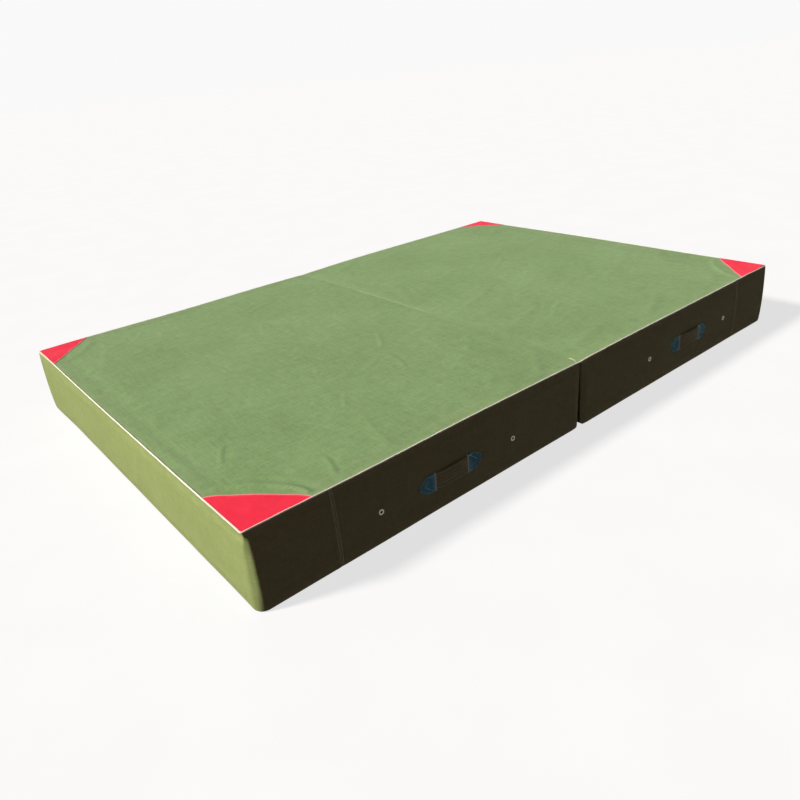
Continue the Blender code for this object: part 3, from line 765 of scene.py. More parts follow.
def cover_form(x, y):
    """Height of the top over the mat, without its creases."""
    end_gap = np.maximum(LENGTH_OUT - np.abs(x), 0.0)
    side_gap = np.maximum(WIDTH_OUT - np.abs(y), 0.0)
    gap = np.minimum(end_gap, side_gap)
    rise = (1 - np.exp(-end_gap / CROWN_RISE)) * (1 - np.exp(-side_gap / CROWN_RISE))
    crown = CROWN * rise * (1 - 0.25 * bell(x, 0.14))
    gutter = GUTTER * bell(gap - GUTTER_PLACE, GUTTER_WIDTH)
    rolled = np.minimum(gap, RIM_ROLL)
    roll = RIM_ROLL - np.sqrt(np.maximum(RIM_ROLL**2 - (RIM_ROLL - rolled) ** 2, 0.0))
    waves = 0.8 * MM * np.sin(9 * x + 3 * np.sin(2.1 * y)) * np.sin(7 * y + 1.0) * rise
    return TOP + rim_lift(x, y) * (1 - 0.6 * rise) + crown - gutter + waves - 0.7 * roll


def cover_height(x, y):
    """Height of the top canvas over the mat."""
    gap = np.minimum(LENGTH_OUT - np.abs(x), WIDTH_OUT - np.abs(y))
    ridge_window = smoothstep(-0.18, -0.02, y) * smoothstep(0.62, 0.42, y)
    fold = (2.1 * MM * bell(x, 4.5 * MM) * ridge_window
            - (0.4 + 0.7 * ridge_window) * MM * bell(x - 0.009, 6 * MM))
    folds = fold + sum_of_creases(x, y) + laid_folds(x, y)
    return cover_form(x, y) + folds * smoothstep(0.0, 0.03, gap)


def laid_folds(x, y):
    """Rise of the simulated canvas: one piece over each half, sewn down round its edge and at the fold."""
    total = np.zeros_like(x)
    for side, sign in SIDES.items():
        there = sign * x >= 0
        total[there] = TOP_CLOTH[side].rise(sign * x[there], y[there] + WIDTH_OUT)
    gap = np.minimum(LENGTH_OUT - np.abs(x), WIDTH_OUT - np.abs(y))
    return total * smoothstep(0.012, 0.10, np.abs(x)) * smoothstep(0.0, 0.09, gap)


def sum_of_creases(x, y):
    total = small_creases(x, y)
    for one in CREASES:
        total = total + crease(x, y, *one)
    return total


def wall_profile(z):
    """Share of the swell at each height: none at the seams, most a little below the middle."""
    share = np.clip(z / WALL_TOP, 0.0, 1.0) ** 0.68
    return np.sin(np.pi * share) ** 0.8


def wall_swell(x, y, z, side):
    """How far the wall stands out, at a place on its plan and a height."""
    shape = WALL_SWELL * wall_profile(z) * (0.85 + 0.25 * drift(2 * x + 1.0, 2 * y))
    ripple = np.sin(13 * x + 9 * z + 2.0 * np.sin(5 * y)) * np.sin(11 * y - 21 * z + 1.0)
    ripple = ripple + 0.6 * np.sin(31 * z + 6 * x - 8 * y)
    seam_gap = np.abs(np.abs(x) - SEAM_OUT[side])
    on_long_side = smoothstep(WIDTH_OUT - 0.02, WIDTH_OUT - 0.005, np.abs(y))
    pinch = SEAM_PINCH * bell(seam_gap, SEAM_WIDTH) * on_long_side
    hem_band = HEM_RISE * smoothstep(SEAM_OUT[side] + HEM_BAND, SEAM_OUT[side] + HEM_BAND - 0.003,
                                     np.abs(x))
    hem_band = (hem_band * smoothstep(SEAM_OUT[side] - 0.001, SEAM_OUT[side] + 0.001, np.abs(x))
                * on_long_side)
    sway = 1.2 * MM * drift(y + 2.0, x)
    crisp = (bell(np.hypot(x - LENGTH_OUT, y + WIDTH_OUT), 0.20)
             + bell(np.hypot(x + LENGTH_OUT, y - WIDTH_OUT), 0.20))
    neck = NECK * bell(WALL_TOP - z - NECK_DROP, NECK_WIDTH) * (1 - 0.9 * crisp)
    full = CRISP_FULLNESS * crisp * smoothstep(0.0, 0.012, z) * smoothstep(WALL_TOP, WALL_TOP - 0.008, z)
    fine = (0.9 * MM * ripple - pinch + hem_band) * wall_profile(z) ** 0.5
    on_end = smoothstep(LENGTH_OUT - 0.02, LENGTH_OUT - 0.005, np.abs(x))
    corner_gap = WIDTH_OUT - np.abs(y)
    drawn = CORNER_TUCK * bell(corner_gap, CORNER_TUCK_REACH) * on_end * smoothstep(0.0, 0.10, z)
    drawn = drawn * smoothstep(WALL_TOP, WALL_TOP - 0.03, z) * (1 - crisp)
    return (shape - neck + full + fine - drawn + sway * smoothstep(0.0, 0.1, z)
            + laid_wall_folds(x, y, z, side, on_end))


def laid_wall_folds(x, y, z, side, on_end):
    """Rise of the simulated canvas on the walls, calm at the corners and beside the gusset's seam."""
    x, y, z = np.broadcast_arrays(np.asarray(x, float), y, z)
    end = END_CLOTH[side].rise(y + WIDTH_OUT, z)
    face = np.where(y < 0, SIDE_CLOTH[side, "front"].rise(np.abs(x), z),
                    SIDE_CLOTH[side, "back"].rise(np.abs(x), z))
    calm = smoothstep(0.004, 0.05, np.abs(np.abs(x) - SEAM_OUT[side]))
    calm = calm * smoothstep(0.03, 0.09, LENGTH_OUT - np.abs(x))
    return on_end * end * smoothstep(0.03, 0.09, WIDTH_OUT - np.abs(y)) + (1 - on_end) * face * calm


def corner_radius(side, face, z):
    """Radius of an upright corner: sharp under the piping, widening to the floor."""
    wall, foot = CORNER_RADII[side, face]
    high = smoothstep(WALL_TOP - 0.090, WALL_TOP - 0.002, z)
    low = wall + (foot - wall) * smoothstep(0.15, 0.0, z)
    return low + (CORNER_TOP_RADIUS - low) * high


def face_out(z):
    """Distance of the slanted fold face from the fold plane."""
    return FACE_TOP[0] + FOLD_SLANT * (FACE_TOP[1] - z)


def foot_radius(side):
    """Radius of the rounded foot of the fold, whose centre stands over the edge of the base."""
    centre = FOOT_CENTRE[side]
    return (centre - face_out(0.0)) / (1 - FOLD_SLANT)


def fold_out(side, z):
    """Distance of the fold's outline from the fold plane, rounded foot included."""
    radius = foot_radius(side)
    drop = np.clip(radius - z, 0.0, radius)
    foot = FOOT_CENTRE[side] - np.sqrt(radius**2 - drop**2)
    return np.where(z < radius, foot, face_out(z))


def wall_levels():
    """(inset, height) up a wall: round the bottom edge, then straight up."""
    turn = np.linspace(0.0, np.pi / 2, 6)
    inset = BOTTOM_ROLL * (1 - np.sin(turn))
    height = 0.3 * MM + BOTTOM_ROLL * (1 - np.cos(turn))
    up = stretch(height[-1], WALL_TOP, WALL_CELL)[1:]
    fine = WALL_TOP - np.array([0.012, 0.006, 0.003])
    up = np.unique(np.concatenate([up, fine]))
    return np.concatenate([inset, np.zeros(len(up))]), np.concatenate([height, up])


def tuck(z):
    """The canvas turns in under the piping at the very top."""
    return 2.0 * MM * smoothstep(WALL_TOP - 0.006, WALL_TOP, z)


# ================================================================ pieces


def make_top_cover():
    edge = 1.0 * MM
    rims = [(place, 8 * MM, 3.5) for place in (edge - LENGTH_OUT, LENGTH_OUT - edge)]
    xs = graded(edge - LENGTH_OUT, LENGTH_OUT - edge, COVER_CELL, BACK_STRIDE, rims + [(0.0, 12 * MM, 2.5)])
    rims = [(place, 8 * MM, 3.5) for place in (edge - WIDTH_OUT, WIDTH_OUT - edge)]
    ys = graded(edge - WIDTH_OUT, WIDTH_OUT - edge, COVER_CELL, BACK_STRIDE, rims)
    x, y = np.meshgrid(xs, ys, indexing="ij")
    points = np.stack([x, y, cover_height(x, y)], axis=-1)
    gap = np.minimum(LENGTH_OUT - np.abs(x), WIDTH_OUT - np.abs(y))
    # A band just inside the rim is paler from wear; the line along the fold is paler partly from wear and
    # partly as a painted highlight on the fold's ridge.
    extra = {
        "wear_stain_highlight": 0.35 * bell(gap - 0.010, 0.006)
        + 0.5 * bell(x, 0.006) * (0.15 + 0.85 * smoothstep(-0.4, 0.2, y)),
        "dust": 0.3 * bell(gap - 0.03, 0.05),
    }
    cover = add_shell("top_cover", points, flat_cloth(x, y), GREEN_TOP, (0, 0, 1), stride=BACK_STRIDE,
                      extra=extra)
    tack = add_fold_tack()
    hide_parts("top_panel_a", "top_panel_b", "fold_web")
    for piece in (cover, tack):
        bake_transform(piece)


def add_fold_tack():
    """A bar of light thread that ties the fold down near its front end, beside the fold line."""
    share = np.linspace(0.0, 1.0, 12)
    x = -0.003 - 0.011 * share**3
    y = -0.945 - 0.042 * share
    path = np.stack([x, y, cover_height(x, y) + 0.4 * MM], axis=-1)
    return add_stitches("fold_tack", [(path, (0, 0, 1))], 9 * MM, GREEN_THREAD, 1.5 * MM, 0.95)


def make_piping():
    """One cord sewn right round the top edge, over the fold."""
    radius = 7 * MM
    end = LENGTH_OUT + PIPING_OUT - radius
    edge = WIDTH_OUT + PIPING_OUT - radius
    turn = np.linspace(0.0, np.pi / 2, 9)
    route = []
    for corner, (x, y) in enumerate(((end, edge), (-end, edge), (-end, -edge), (end, -edge))):
        angle = turn + corner * np.pi / 2
        route.append(np.stack([x + radius * np.cos(angle), y + radius * np.sin(angle)], axis=-1))
    plan = []
    for corner in range(4):
        here, after = route[corner], route[(corner + 1) % 4]
        plan.append(here)
        span = np.linalg.norm(after[0] - here[-1])
        share = np.linspace(0.0, 1.0, round(span / (10 * MM)) + 1)[1:-1, None]
        plan.append(here[-1] + (after[0] - here[-1]) * share)
    plan = np.concatenate(plan)
    x, y = plan.T
    far = np.maximum(smoothstep(1.30, 1.46, x), smoothstep(0.90, 0.98, y))
    height = (PIPING_Z + 1.0 * MM + rim_lift(x, y) - FAR_PIPING_DROP * far
              + 0.25 * MM * np.sin(61 * x + 47 * y))
    radii = PIPING_RADIUS * (1 + 0.05 * np.sin(83 * x - 71 * y) + 0.04 * np.sin(190 * x + 150 * y))
    from_corner = (LENGTH_OUT - np.abs(x)) + (WIDTH_OUT - np.abs(y))
    dyed = smoothstep(0.26, 0.20, from_corner)
    piping = add_tube("piping_cord", np.stack([x, y, height], axis=-1), radii, dyed, PIPING)
    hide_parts("piping_a", "piping_b")
    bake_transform(piping)


def wall_layers(side, x, z):
    """Worn paler along the top and the bottom edge, a painted highlight along the seam, dusty near the
    floor.
    """
    # The band along the seam is a painted highlight, where the raised seam would catch light.
    seam = bell(np.abs(x) - SEAM_OUT[side], 2.4 * MM)
    wear_stain_highlight = 0.7 * bell(WALL_TOP - z, 0.015) + 0.6 * bell(z - BOTTOM_ROLL, 0.008) + seam
    faded = 0.5 * smoothstep(-0.1, 0.4, x)
    return {"wear_stain_highlight": np.minimum(wear_stain_highlight, 1.0), "dust": np.maximum(bell(z, 0.05), faded)}


def side_surface(side, face, x, z, inset=0.0):
    """Y of the side wall, swollen and pinched at its seam, for places along the mat."""
    swell = wall_swell(x, FACES[face] * WIDTH_OUT, z, side)
    return FACES[face] * (WIDTH_OUT - inset + swell)


def make_side_panel(side, face):
    sign, outward = SIDES[side], FACES[face]
    inset, height = wall_levels()
    near = np.array([0.0, 0.4, 1.2, 2.4, 4.0]) * MM
    along = np.concatenate([near, stretch(near[-1] + WALL_CELL, SEAM_OUT[side] - 0.02, WALL_CELL)])
    along = np.concatenate([along, np.linspace(SEAM_OUT[side] - 0.018, SEAM_OUT[side], 9)])
    share = along[:, None] / SEAM_OUT[side]
    start = fold_out(side, height)[None]
    out = start * (1 - share) + SEAM_OUT[side] * share
    z = np.broadcast_to(height[None], out.shape)
    from_fold = np.clip(along, 0.0, FOLD_EDGE_ROLL)[:, None]
    roll = FOLD_EDGE_ROLL - np.sqrt(FOLD_EDGE_ROLL**2 - (FOLD_EDGE_ROLL - from_fold) ** 2)
    x = sign * out
    calm = smoothstep(0.0, 0.03, along)[:, None]
    swell = wall_swell(x, outward * WIDTH_OUT, z, side) * calm
    y = outward * (WIDTH_OUT - inset[None] - tuck(z) - roll + swell)
    lift = rim_lift(x, outward * WIDTH_OUT) * smoothstep(0.15, WALL_TOP, z)
    points = np.stack([x, y, z + lift], axis=-1)
    name = f"side_wall_{face}_{side}"
    panel = add_shell(name, points, flat_cloth(x, z), GREEN_SIDE, (0, outward, 0),
                      extra=wall_layers(side, x, z))
    cut_eyelet_holes(panel, side, face)
    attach(panel, f"half_{side}")
    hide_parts(f"side_panel_{face}_{side}")


def eyelet_seat(side, face, number):
    """Middle of an eyelet on the wall's surface."""
    low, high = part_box(f"vent_eyelet_{face}_{side}_{number}")
    x, z = (low.x + high.x) / 2, (low.z + high.z) / 2
    return np.array([x, float(side_surface(side, face, x, z)), z])


def cut_eyelet_holes(panel, side, face):
    """Real holes through the canvas, under the eyelets."""
    radius = 5.4 * MM
    for number in (1, 2):
        seat = eyelet_seat(side, face, number)
        profile = [(0.01 * MM, -0.02), (radius, -0.02), (radius, 0.02), (0.01 * MM, 0.02)]
        cutter = add_turned("cutter", profile, seat, (0, 1, 0), NICKEL, steps=24)
        modifier = panel.modifiers.new("hole", "BOOLEAN")
        modifier.object = cutter
        modifier.solver = "EXACT"
        apply_modifiers(panel)
        bpy.data.objects.remove(cutter)


def corner_plan(radius, share):
    """A quarter turn inside a square of CORNER_REACH: straight, arc, straight, by share of its length."""
    straight = CORNER_REACH - radius
    arc = np.pi / 2 * radius
    run = share * (2 * straight + arc)
    turn = np.clip((run - straight) / radius, 0.0, np.pi / 2)
    first = np.minimum(run, straight)
    last = np.maximum(run - straight - arc, 0.0)
    x = first + radius * np.sin(turn)
    y = radius * (1 - np.cos(turn)) + last
    return x, y, np.sin(turn), -np.cos(turn)


def gusset_quarter(side, face, height):
    """Columns (x, y, normal) of the gusset from its seam to past one corner, laid out for the front of
    half B."""
    start, turn_x = SEAM_OUT[side], LENGTH_OUT - CORNER_REACH
    radius = corner_radius(side, face, height)
    straight = np.concatenate([np.linspace(start, start + 0.024, 13),
                               stretch(start + 0.031, turn_x, WALL_CELL)])
    columns = [(x, -WIDTH_OUT, 0.0, -1.0) for x in straight]
    for share in np.linspace(0.0, 1.0, 25)[1:]:
        dx, dy, nx, ny = corner_plan(radius, share)
        columns.append((turn_x + dx, -WIDTH_OUT + dy, nx, ny))
    return columns


def make_end_gusset(side):
    """Strip round the outer end. It is laid out for half B and turned round for half A."""
    inset, height = wall_levels()
    sign = SIDES[side]
    turn_y = WIDTH_OUT - CORNER_REACH
    first, last = ("front", "back") if side == "b" else ("back", "front")
    columns = gusset_quarter(side, first, height)
    columns += [(LENGTH_OUT, y, 1.0, 0.0) for y in stretch(-turn_y, turn_y, WALL_CELL)[1:-1]]
    columns += [(x, -y, nx, -ny) for x, y, nx, ny in gusset_quarter(side, last, height)[::-1]]
    middle = np.array([[np.mean(x), np.mean(y)] for x, y, _, _ in columns])
    run = np.concatenate([[0.0], np.cumsum(np.linalg.norm(np.diff(middle, axis=0), axis=1))])
    shape = (len(columns), len(height))
    x, y, nx, ny = (np.stack([np.broadcast_to(c[k], height.shape) for c in columns]) for k in range(4))
    z = np.broadcast_to(height, shape)
    x, y, nx, ny = sign * x, sign * y, sign * nx, sign * ny
    out = wall_swell(x, y, z, side) - inset[None] - tuck(z)
    points = np.stack([x + nx * out, y + ny * out, z + rim_lift(x, y) * smoothstep(0.15, WALL_TOP, z)],
                      axis=-1)
    cloth = flat_cloth(np.broadcast_to(run[:, None], shape), z)
    normals = np.stack([nx, ny, np.zeros_like(nx)], axis=-1)
    name = f"end_wall_{side}"
    wall = add_shell(name, points, cloth, GREEN_SIDE, normals, extra=wall_layers(side, x, z))
    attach(wall, f"half_{side}")
    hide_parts(f"end_gusset_{side}")


def plan_half_width(out, inset, radius):
    """Half the width of the mat's plan at a distance from the fold plane, with rounded outer corners."""
    past = np.clip(out - (LENGTH_OUT - inset - radius), 0.0, radius)
    return WIDTH_OUT - inset - radius + np.sqrt(radius**2 - past**2)


def half_plan(side, start, inset, front_radius, back_radius, cell):
    """(x, y) grids over one half, bowed in at its outer corners."""
    widest = max(front_radius, back_radius)
    out = np.concatenate([
        stretch(start, LENGTH_OUT - inset - widest, cell)[:-1],
        LENGTH_OUT - inset - widest + widest * np.sin(np.linspace(0.0, 0.97 * np.pi / 2, 13)),
    ])
    across = stretch(-1.0, 1.0, cell / WIDTH_OUT)
    x, share = np.meshgrid(out, across, indexing="ij")
    y = share * plan_half_width(x, inset, np.where(share < 0, front_radius, back_radius))
    return SIDES[side] * x, y


def make_base(side):
    inset = BOTTOM_ROLL - 1.5 * MM
    front_radius, back_radius = (CORNER_RADII[side, face][1] - inset for face in FACES)
    x, y = half_plan(side, FOOT_CENTRE[side] - 1 * MM, inset, front_radius, back_radius, 15 * MM)
    lumps = np.sin(21 * x + 2 * np.sin(9 * y)) * np.sin(17 * y + 1.5)
    points = np.stack([x, y, 0.35 * MM * (1 + lumps)], axis=-1)
    gap = np.minimum(LENGTH_OUT - np.abs(x), WIDTH_OUT - np.abs(y))
    extra = {"wear_stain_highlight": 0.8 * bell(gap - inset, 0.015), "dust": 0.35 + 0.65 * bell(gap, 0.12)}
    name = f"base_sheet_{side}"
    base = add_shell(name, points, flat_cloth(x, y), DARK_BASE, (0, 0, -1), extra=extra)
    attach(base, f"half_{side}")
    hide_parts(f"base_panel_{side}")


def make_fold_face(side, name, outline):
    """A strip of the fold face, from an outline of (out, z) points that goes up."""
    edge = WIDTH_OUT - FOLD_EDGE_ROLL + 0.3 * MM
    ys = stretch(-edge, edge, 12 * MM)
    out, z = np.array(outline).T
    y, z = np.meshgrid(ys, z, indexing="ij")
    out = np.broadcast_to(out, y.shape)
    dent = (0.6 * MM * (1 + np.sin(7 * y + 25 * z) * np.sin(3.3 * y))
            * smoothstep(0.0, 0.05, edge - np.abs(y)))
    x = SIDES[side] * (out + dent)
    lift = (cover_height(x, y) - TOP) * smoothstep(0.20, WALL_TOP, z)
    points = np.stack([x, y, z + lift], axis=-1)
    heights = {"wear_stain_highlight": 0.5 * bell(z - ZIP_HIGH, 0.006) + 0.5 * bell(z - ZIP_LOW, 0.006),
               "dust": bell(z, 0.04)}
    # The fold canvas is darker than the walls' canvas as painted shade of the slot.
    panel = add_shell(name, points, flat_cloth(y, z), SHADED_FOLD_CANVAS, (-SIDES[side], 0, 0), extra=heights)
    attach(panel, f"half_{side}")
    return panel


def make_fold_faces(side):
    hem = 1.5 * MM
    high = stretch(ZIP_HIGH - hem, WALL_TOP, 10 * MM)
    upper = make_fold_face(side, f"fold_wall_upper_{side}", [(face_out(z), z) for z in high])
    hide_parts(f"fold_face_upper_{side}")
    radius = foot_radius(side)
    turn = np.linspace(0.0, np.pi / 2, 12)
    arc = [(FOOT_CENTRE[side] - radius * math.sin(t), radius * (1 - math.cos(t)) + 0.3 * MM) for t in turn]
    rise = [(face_out(z), z) for z in stretch(radius + 2 * MM, ZIP_LOW + hem, 5 * MM)]
    lower = make_fold_face(side, f"fold_wall_lower_{side}", arc + rise)
    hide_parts(f"fold_face_lower_{side}")


def make_zip(side):
    """Woven tape let into the fold face, and two rows of interlocking teeth along its middle."""
    sign = SIDES[side]
    edge = WIDTH_OUT - FOLD_EDGE_ROLL + 0.3 * MM
    y, z = np.meshgrid(stretch(-edge, edge, 12 * MM), np.linspace(ZIP_LOW, ZIP_HIGH, 9), indexing="ij")
    points = np.stack([sign * (face_out(z) + 1.3 * MM), y, z], axis=-1)
    middle = (ZIP_LOW + ZIP_HIGH) / 2
    extra = {"wear_stain_highlight": 0.5 * bell(z - middle, 0.006), "dust": 0.3 * np.ones_like(z)}
    tape = add_shell(f"zip_tape_{side}", points, flat_cloth(y, z), ZIP_TAPE, (-sign, 0, 0),
                     thickness=0.8 * MM, extra=extra)
    teeth = add_teeth(f"zip_teeth_{side}", sign, middle, edge - 8.3 * MM)
    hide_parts(f"zip_chain_{side}")
    for piece in (tape, teeth):
        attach(piece, f"half_{side}")


def add_teeth(name, sign, middle, edge):
    """Each tooth is a bar across the chain with a swollen head, hooked between two of the other row."""
    pitch = 3.0 * MM
    stations = ((-2.9, 0.55, 0.5), (-2.2, 0.75, 1.2), (-0.2, 0.60, 1.3), (0.6, 0.95, 1.5), (1.1, 0.6, 0.9))
    sides = 6
    turn = 2 * np.pi * np.arange(sides) / sides
    index = np.arange(len(stations) * sides).reshape(len(stations), sides)
    wrapped = np.hstack([index, index[:, :1]])
    local = grid_faces(wrapped) + [index[0][::-1].tolist(), index[-1].tolist()]
    points, faces = [], []
    count = int(2 * edge / pitch)
    for row in (-1, 1):
        for number in range(count):
            y = -edge + (number + (0.5 if row > 0 else 0.0)) * pitch
            base = len(points) * len(stations) * sides
            rings = []
            for place, width, proud in stations:
                z = middle - row * place * MM
                ring_y = y + width * MM * np.cos(turn)
                ring_out = face_out(z) + 0.4 * MM - proud * MM * (0.5 + 0.5 * np.sin(turn))
                rings.append(np.stack([sign * ring_out, ring_y, np.full(sides, z)], axis=-1))
            points.append(np.concatenate(rings))
            faces += [[base + i for i in face] for face in local]
    return add_mesh(name, np.concatenate(points), faces, COIL, sharp=40, turn_out=True)


def add_block(name, side, start, inset, radius, top_at, bottom_at, material, cell=22 * MM, swell=0.0):
    """A foam block: top and bottom grids over one half, joined by walls that swell between soft edges."""
    x, y = half_plan(side, start, inset, radius, radius, cell)
    top = np.stack([x, y, top_at(x, y)], axis=-1)
    bottom = np.stack([x, y, bottom_at(x, y)], axis=-1)
    size = x.size
    index = np.arange(size).reshape(x.shape)
    loop = np.concatenate([index[:-1, 0], index[-1, :-1], index[:0:-1, -1], index[0, :0:-1]])
    steps = np.linspace(0.0, 1.0, 9)[1:-1]
    flat_top, flat_bottom = top.reshape(-1, 3), bottom.reshape(-1, 3)
    centre = flat_top.mean(axis=0) * (1, 0, 0)
    out = (flat_top[loop] - centre) / (LENGTH_OUT / 2, WIDTH_OUT, 1.0)
    out[:, 2] = 0
    out /= np.linalg.norm(out, axis=1, keepdims=True)
    rings = [index.ravel()[loop]]
    points = [flat_top, flat_bottom]
    for number, share in enumerate(steps):
        ring = flat_top[loop] * (1 - share) + flat_bottom[loop] * share
        points.append(ring + out * swell * np.sin(np.pi * share) ** 0.6)
        rings.append(2 * size + number * len(loop) + np.arange(len(loop)))
    rings.append(size + index.ravel()[loop])
    rings = np.stack(rings)
    rings = np.hstack([rings, rings[:, :1]])
    faces = grid_faces(index) + [face[::-1] for face in grid_faces(size + index)]
    faces += grid_faces(rings)
    return add_mesh(name, np.concatenate(points), faces, material, sharp=60, turn_out=True)


def soft_edge(x, y, inset, radius):
    """How far a block's face drops at its rounded edges."""
    gap = np.minimum(LENGTH_OUT - inset - np.abs(x), plan_half_width(np.abs(x), inset, FOAM_CORNER_RADIUS)
                     - np.abs(y))
    gap = np.clip(gap, 0.0, radius)
    return radius - np.sqrt(np.maximum(radius**2 - (radius - gap) ** 2, 0.0))


def make_foam(side):
    inset, radius = 13 * MM, FOAM_CORNER_RADIUS
    fold_gap = face_out(0.0) + foot_radius(side) * 0.35
    lower_edge, upper_edge = 12 * MM, 3 * MM

    def seam(x, y):
        return FOAM_SPLIT - 0.4 * MM + 0.5 * MM * np.sin(5 * x) * np.sin(4 * y)

    def core_top(x, y):
        return seam(x, y) - soft_edge(x, y, inset, upper_edge)

    def core_bottom(x, y):
        """Rises beside the fold, so that the foam keeps inside the rounded foot of the canvas."""
        foot = foot_radius(side)
        under = np.clip(FOOT_CENTRE[side] + FOOT_CLEARANCE - np.abs(x), 0.0, foot)
        return 2.2 * MM + soft_edge(x, y, inset, lower_edge) + foot - np.sqrt(foot**2 - under**2)

    def pad_top(x, y):
        return cover_form(x, y) - CANVAS - PAD_CLEARANCE - soft_edge(x, y, inset, upper_edge)

    def pad_bottom(x, y):
        return seam(x, y) + 0.8 * MM + soft_edge(x, y, inset, upper_edge)

    core = add_block(f"foam_block_{side}", side, fold_gap, inset, radius, core_top, core_bottom, FOAM,
                     swell=2.5 * MM)
    pad = add_block(f"landing_pad_{side}", side, face_out(FOAM_SPLIT) + 5 * MM, inset, radius, pad_top,
                    pad_bottom, FIRM_FOAM, swell=1.0 * MM)
    for piece, node, slot in ((core, "foam_core", "soft_foam"), (pad, "landing_layer", "firm_foam")):
        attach(piece, f"half_{side}")
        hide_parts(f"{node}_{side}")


# The corner patches are given one by one: how far each one's long edge bows out in its middle, and its
# size.
PATCH_BOWS = {("a", "front"): 0.075, ("b", "front"): 0.030, ("a", "back"): 0.004, ("b", "back"): 0.004}
PATCH_SIZES = {("a", "front"): 1.015, ("b", "front"): 1.0, ("a", "back"): 0.96, ("b", "back"): 0.88}


def make_corner_patch(side, face):
    """Red triangle over the corner, with a folded hem along its long edge."""
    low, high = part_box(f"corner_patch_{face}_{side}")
    sx, sy = SIDES[side], FACES[face]
    corner = np.array([high.x if sx > 0 else low.x, high.y if sy > 0 else low.y])
    leg = high.x - low.x
    hem, hem_rise = 8.0 * MM, 0.6 * MM
    bow, size = PATCH_BOWS[side, face], PATCH_SIZES[side, face]
    rows = np.concatenate([np.linspace(0.012, 0.94, 40), np.linspace(0.948, 1.0, 12)])
    reach, share = np.meshgrid(rows, np.linspace(0.0, 1.0, 61), indexing="ij")
    limit = size + bow * (1 - np.abs(2 * share - 1) ** 5)
    along_x, along_y = leg * reach * limit * share, 1.035 * leg * reach * limit * (1 - share)
    x, y = corner[0] - sx * along_x, corner[1] - sy * along_y
    hem_gap = leg * (1 - reach) * limit / math.sqrt(2)
    rise = PATCH_CLOTH + 0.1 * MM + hem_rise * smoothstep(hem, 0.6 * hem, hem_gap)
    dimple = 0.5 * MM * bell(hem_gap - hem, 1.5 * MM)
    points = np.stack([x, y, cover_height(x, y) + rise - dimple], axis=-1)
    extra = {"hem": 0.85 * smoothstep(4.6 * MM, 3.4 * MM, hem_gap)}
    name = f"corner_cap_{face}_{side}"
    patch = add_shell(name, points, flat_cloth(x, y), RED, (0, 0, 1), thickness=PATCH_CLOTH, extra=extra)
    path = points[-10, 2:-2]
    stitches = add_stitches(f"{name}_stitches", [(path, (0, 0, 1))], STITCH_SEAM, RED_THREAD, 0.5 * MM)
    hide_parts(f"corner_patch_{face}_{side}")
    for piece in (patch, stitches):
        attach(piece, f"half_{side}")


def strap_arch(side, face):
    """Middle, reach, rise, lower and upper edge of a handle strap. The web is worn flatter than its
    frame solid."""
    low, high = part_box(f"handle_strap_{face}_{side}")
    return (low.x + high.x) / 2, (high.x - low.x) / 2, 0.66 * (high.y - low.y), low.z, high.z


def strap_lift(side, face, x):
    """How far the strap's outer face stands off the wall."""
    middle, reach, rise, _, _ = strap_arch(side, face)
    share = np.clip(np.abs(x - middle) / reach, 0.0, 1.0)
    return 2.4 * MM + (rise - 2.4 * MM) * (1 - share**3)


def make_handle(side, face):
    outward = FACES[face]
    middle, reach, _, low, high = strap_arch(side, face)
    hidden = 22 * MM
    for label, way in (("left", -1), ("right", 1)):
        along = np.linspace(0.0, reach + hidden, 42)
        x, z = np.meshgrid(middle + way * along, np.linspace(low, high, 37), indexing="ij")
        share = (z - low) / (high - low)
        rib = 0.35 * MM * np.abs(np.sin(5 * np.pi * share)) - 0.8 * MM * (2 * share - 1) ** 8
        flat = side_surface(side, face, x, z)
        y = flat + outward * (strap_lift(side, face, x) + rib)
        points = np.stack([x, y, z], axis=-1)
        extra = {"wear_stain_highlight": 0.5 * bell(share - 1, 0.06) + 0.5 * bell(share, 0.06),
                 "dust": 0.3 * np.ones_like(x)}
        name = f"strap_{face}_{side}_{label}"
        strap = add_shell(name, points, flat_cloth(x, z), STRAP_WEB, (0, outward, 0), thickness=2.1 * MM,
                          extra=extra)
        rows = [(points[:, k] + (0, outward * 0.05 * MM, 0), (0, outward, 0)) for k in (4, 11, 18, 25, 32)]
        stitches = add_stitches(f"{name}_stitches", rows, 4.5 * MM, GREEN_THREAD, 0.45 * MM)
        for piece in (strap, stitches):
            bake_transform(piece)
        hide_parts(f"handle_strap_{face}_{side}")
        make_handle_patch(side, face, label, way)


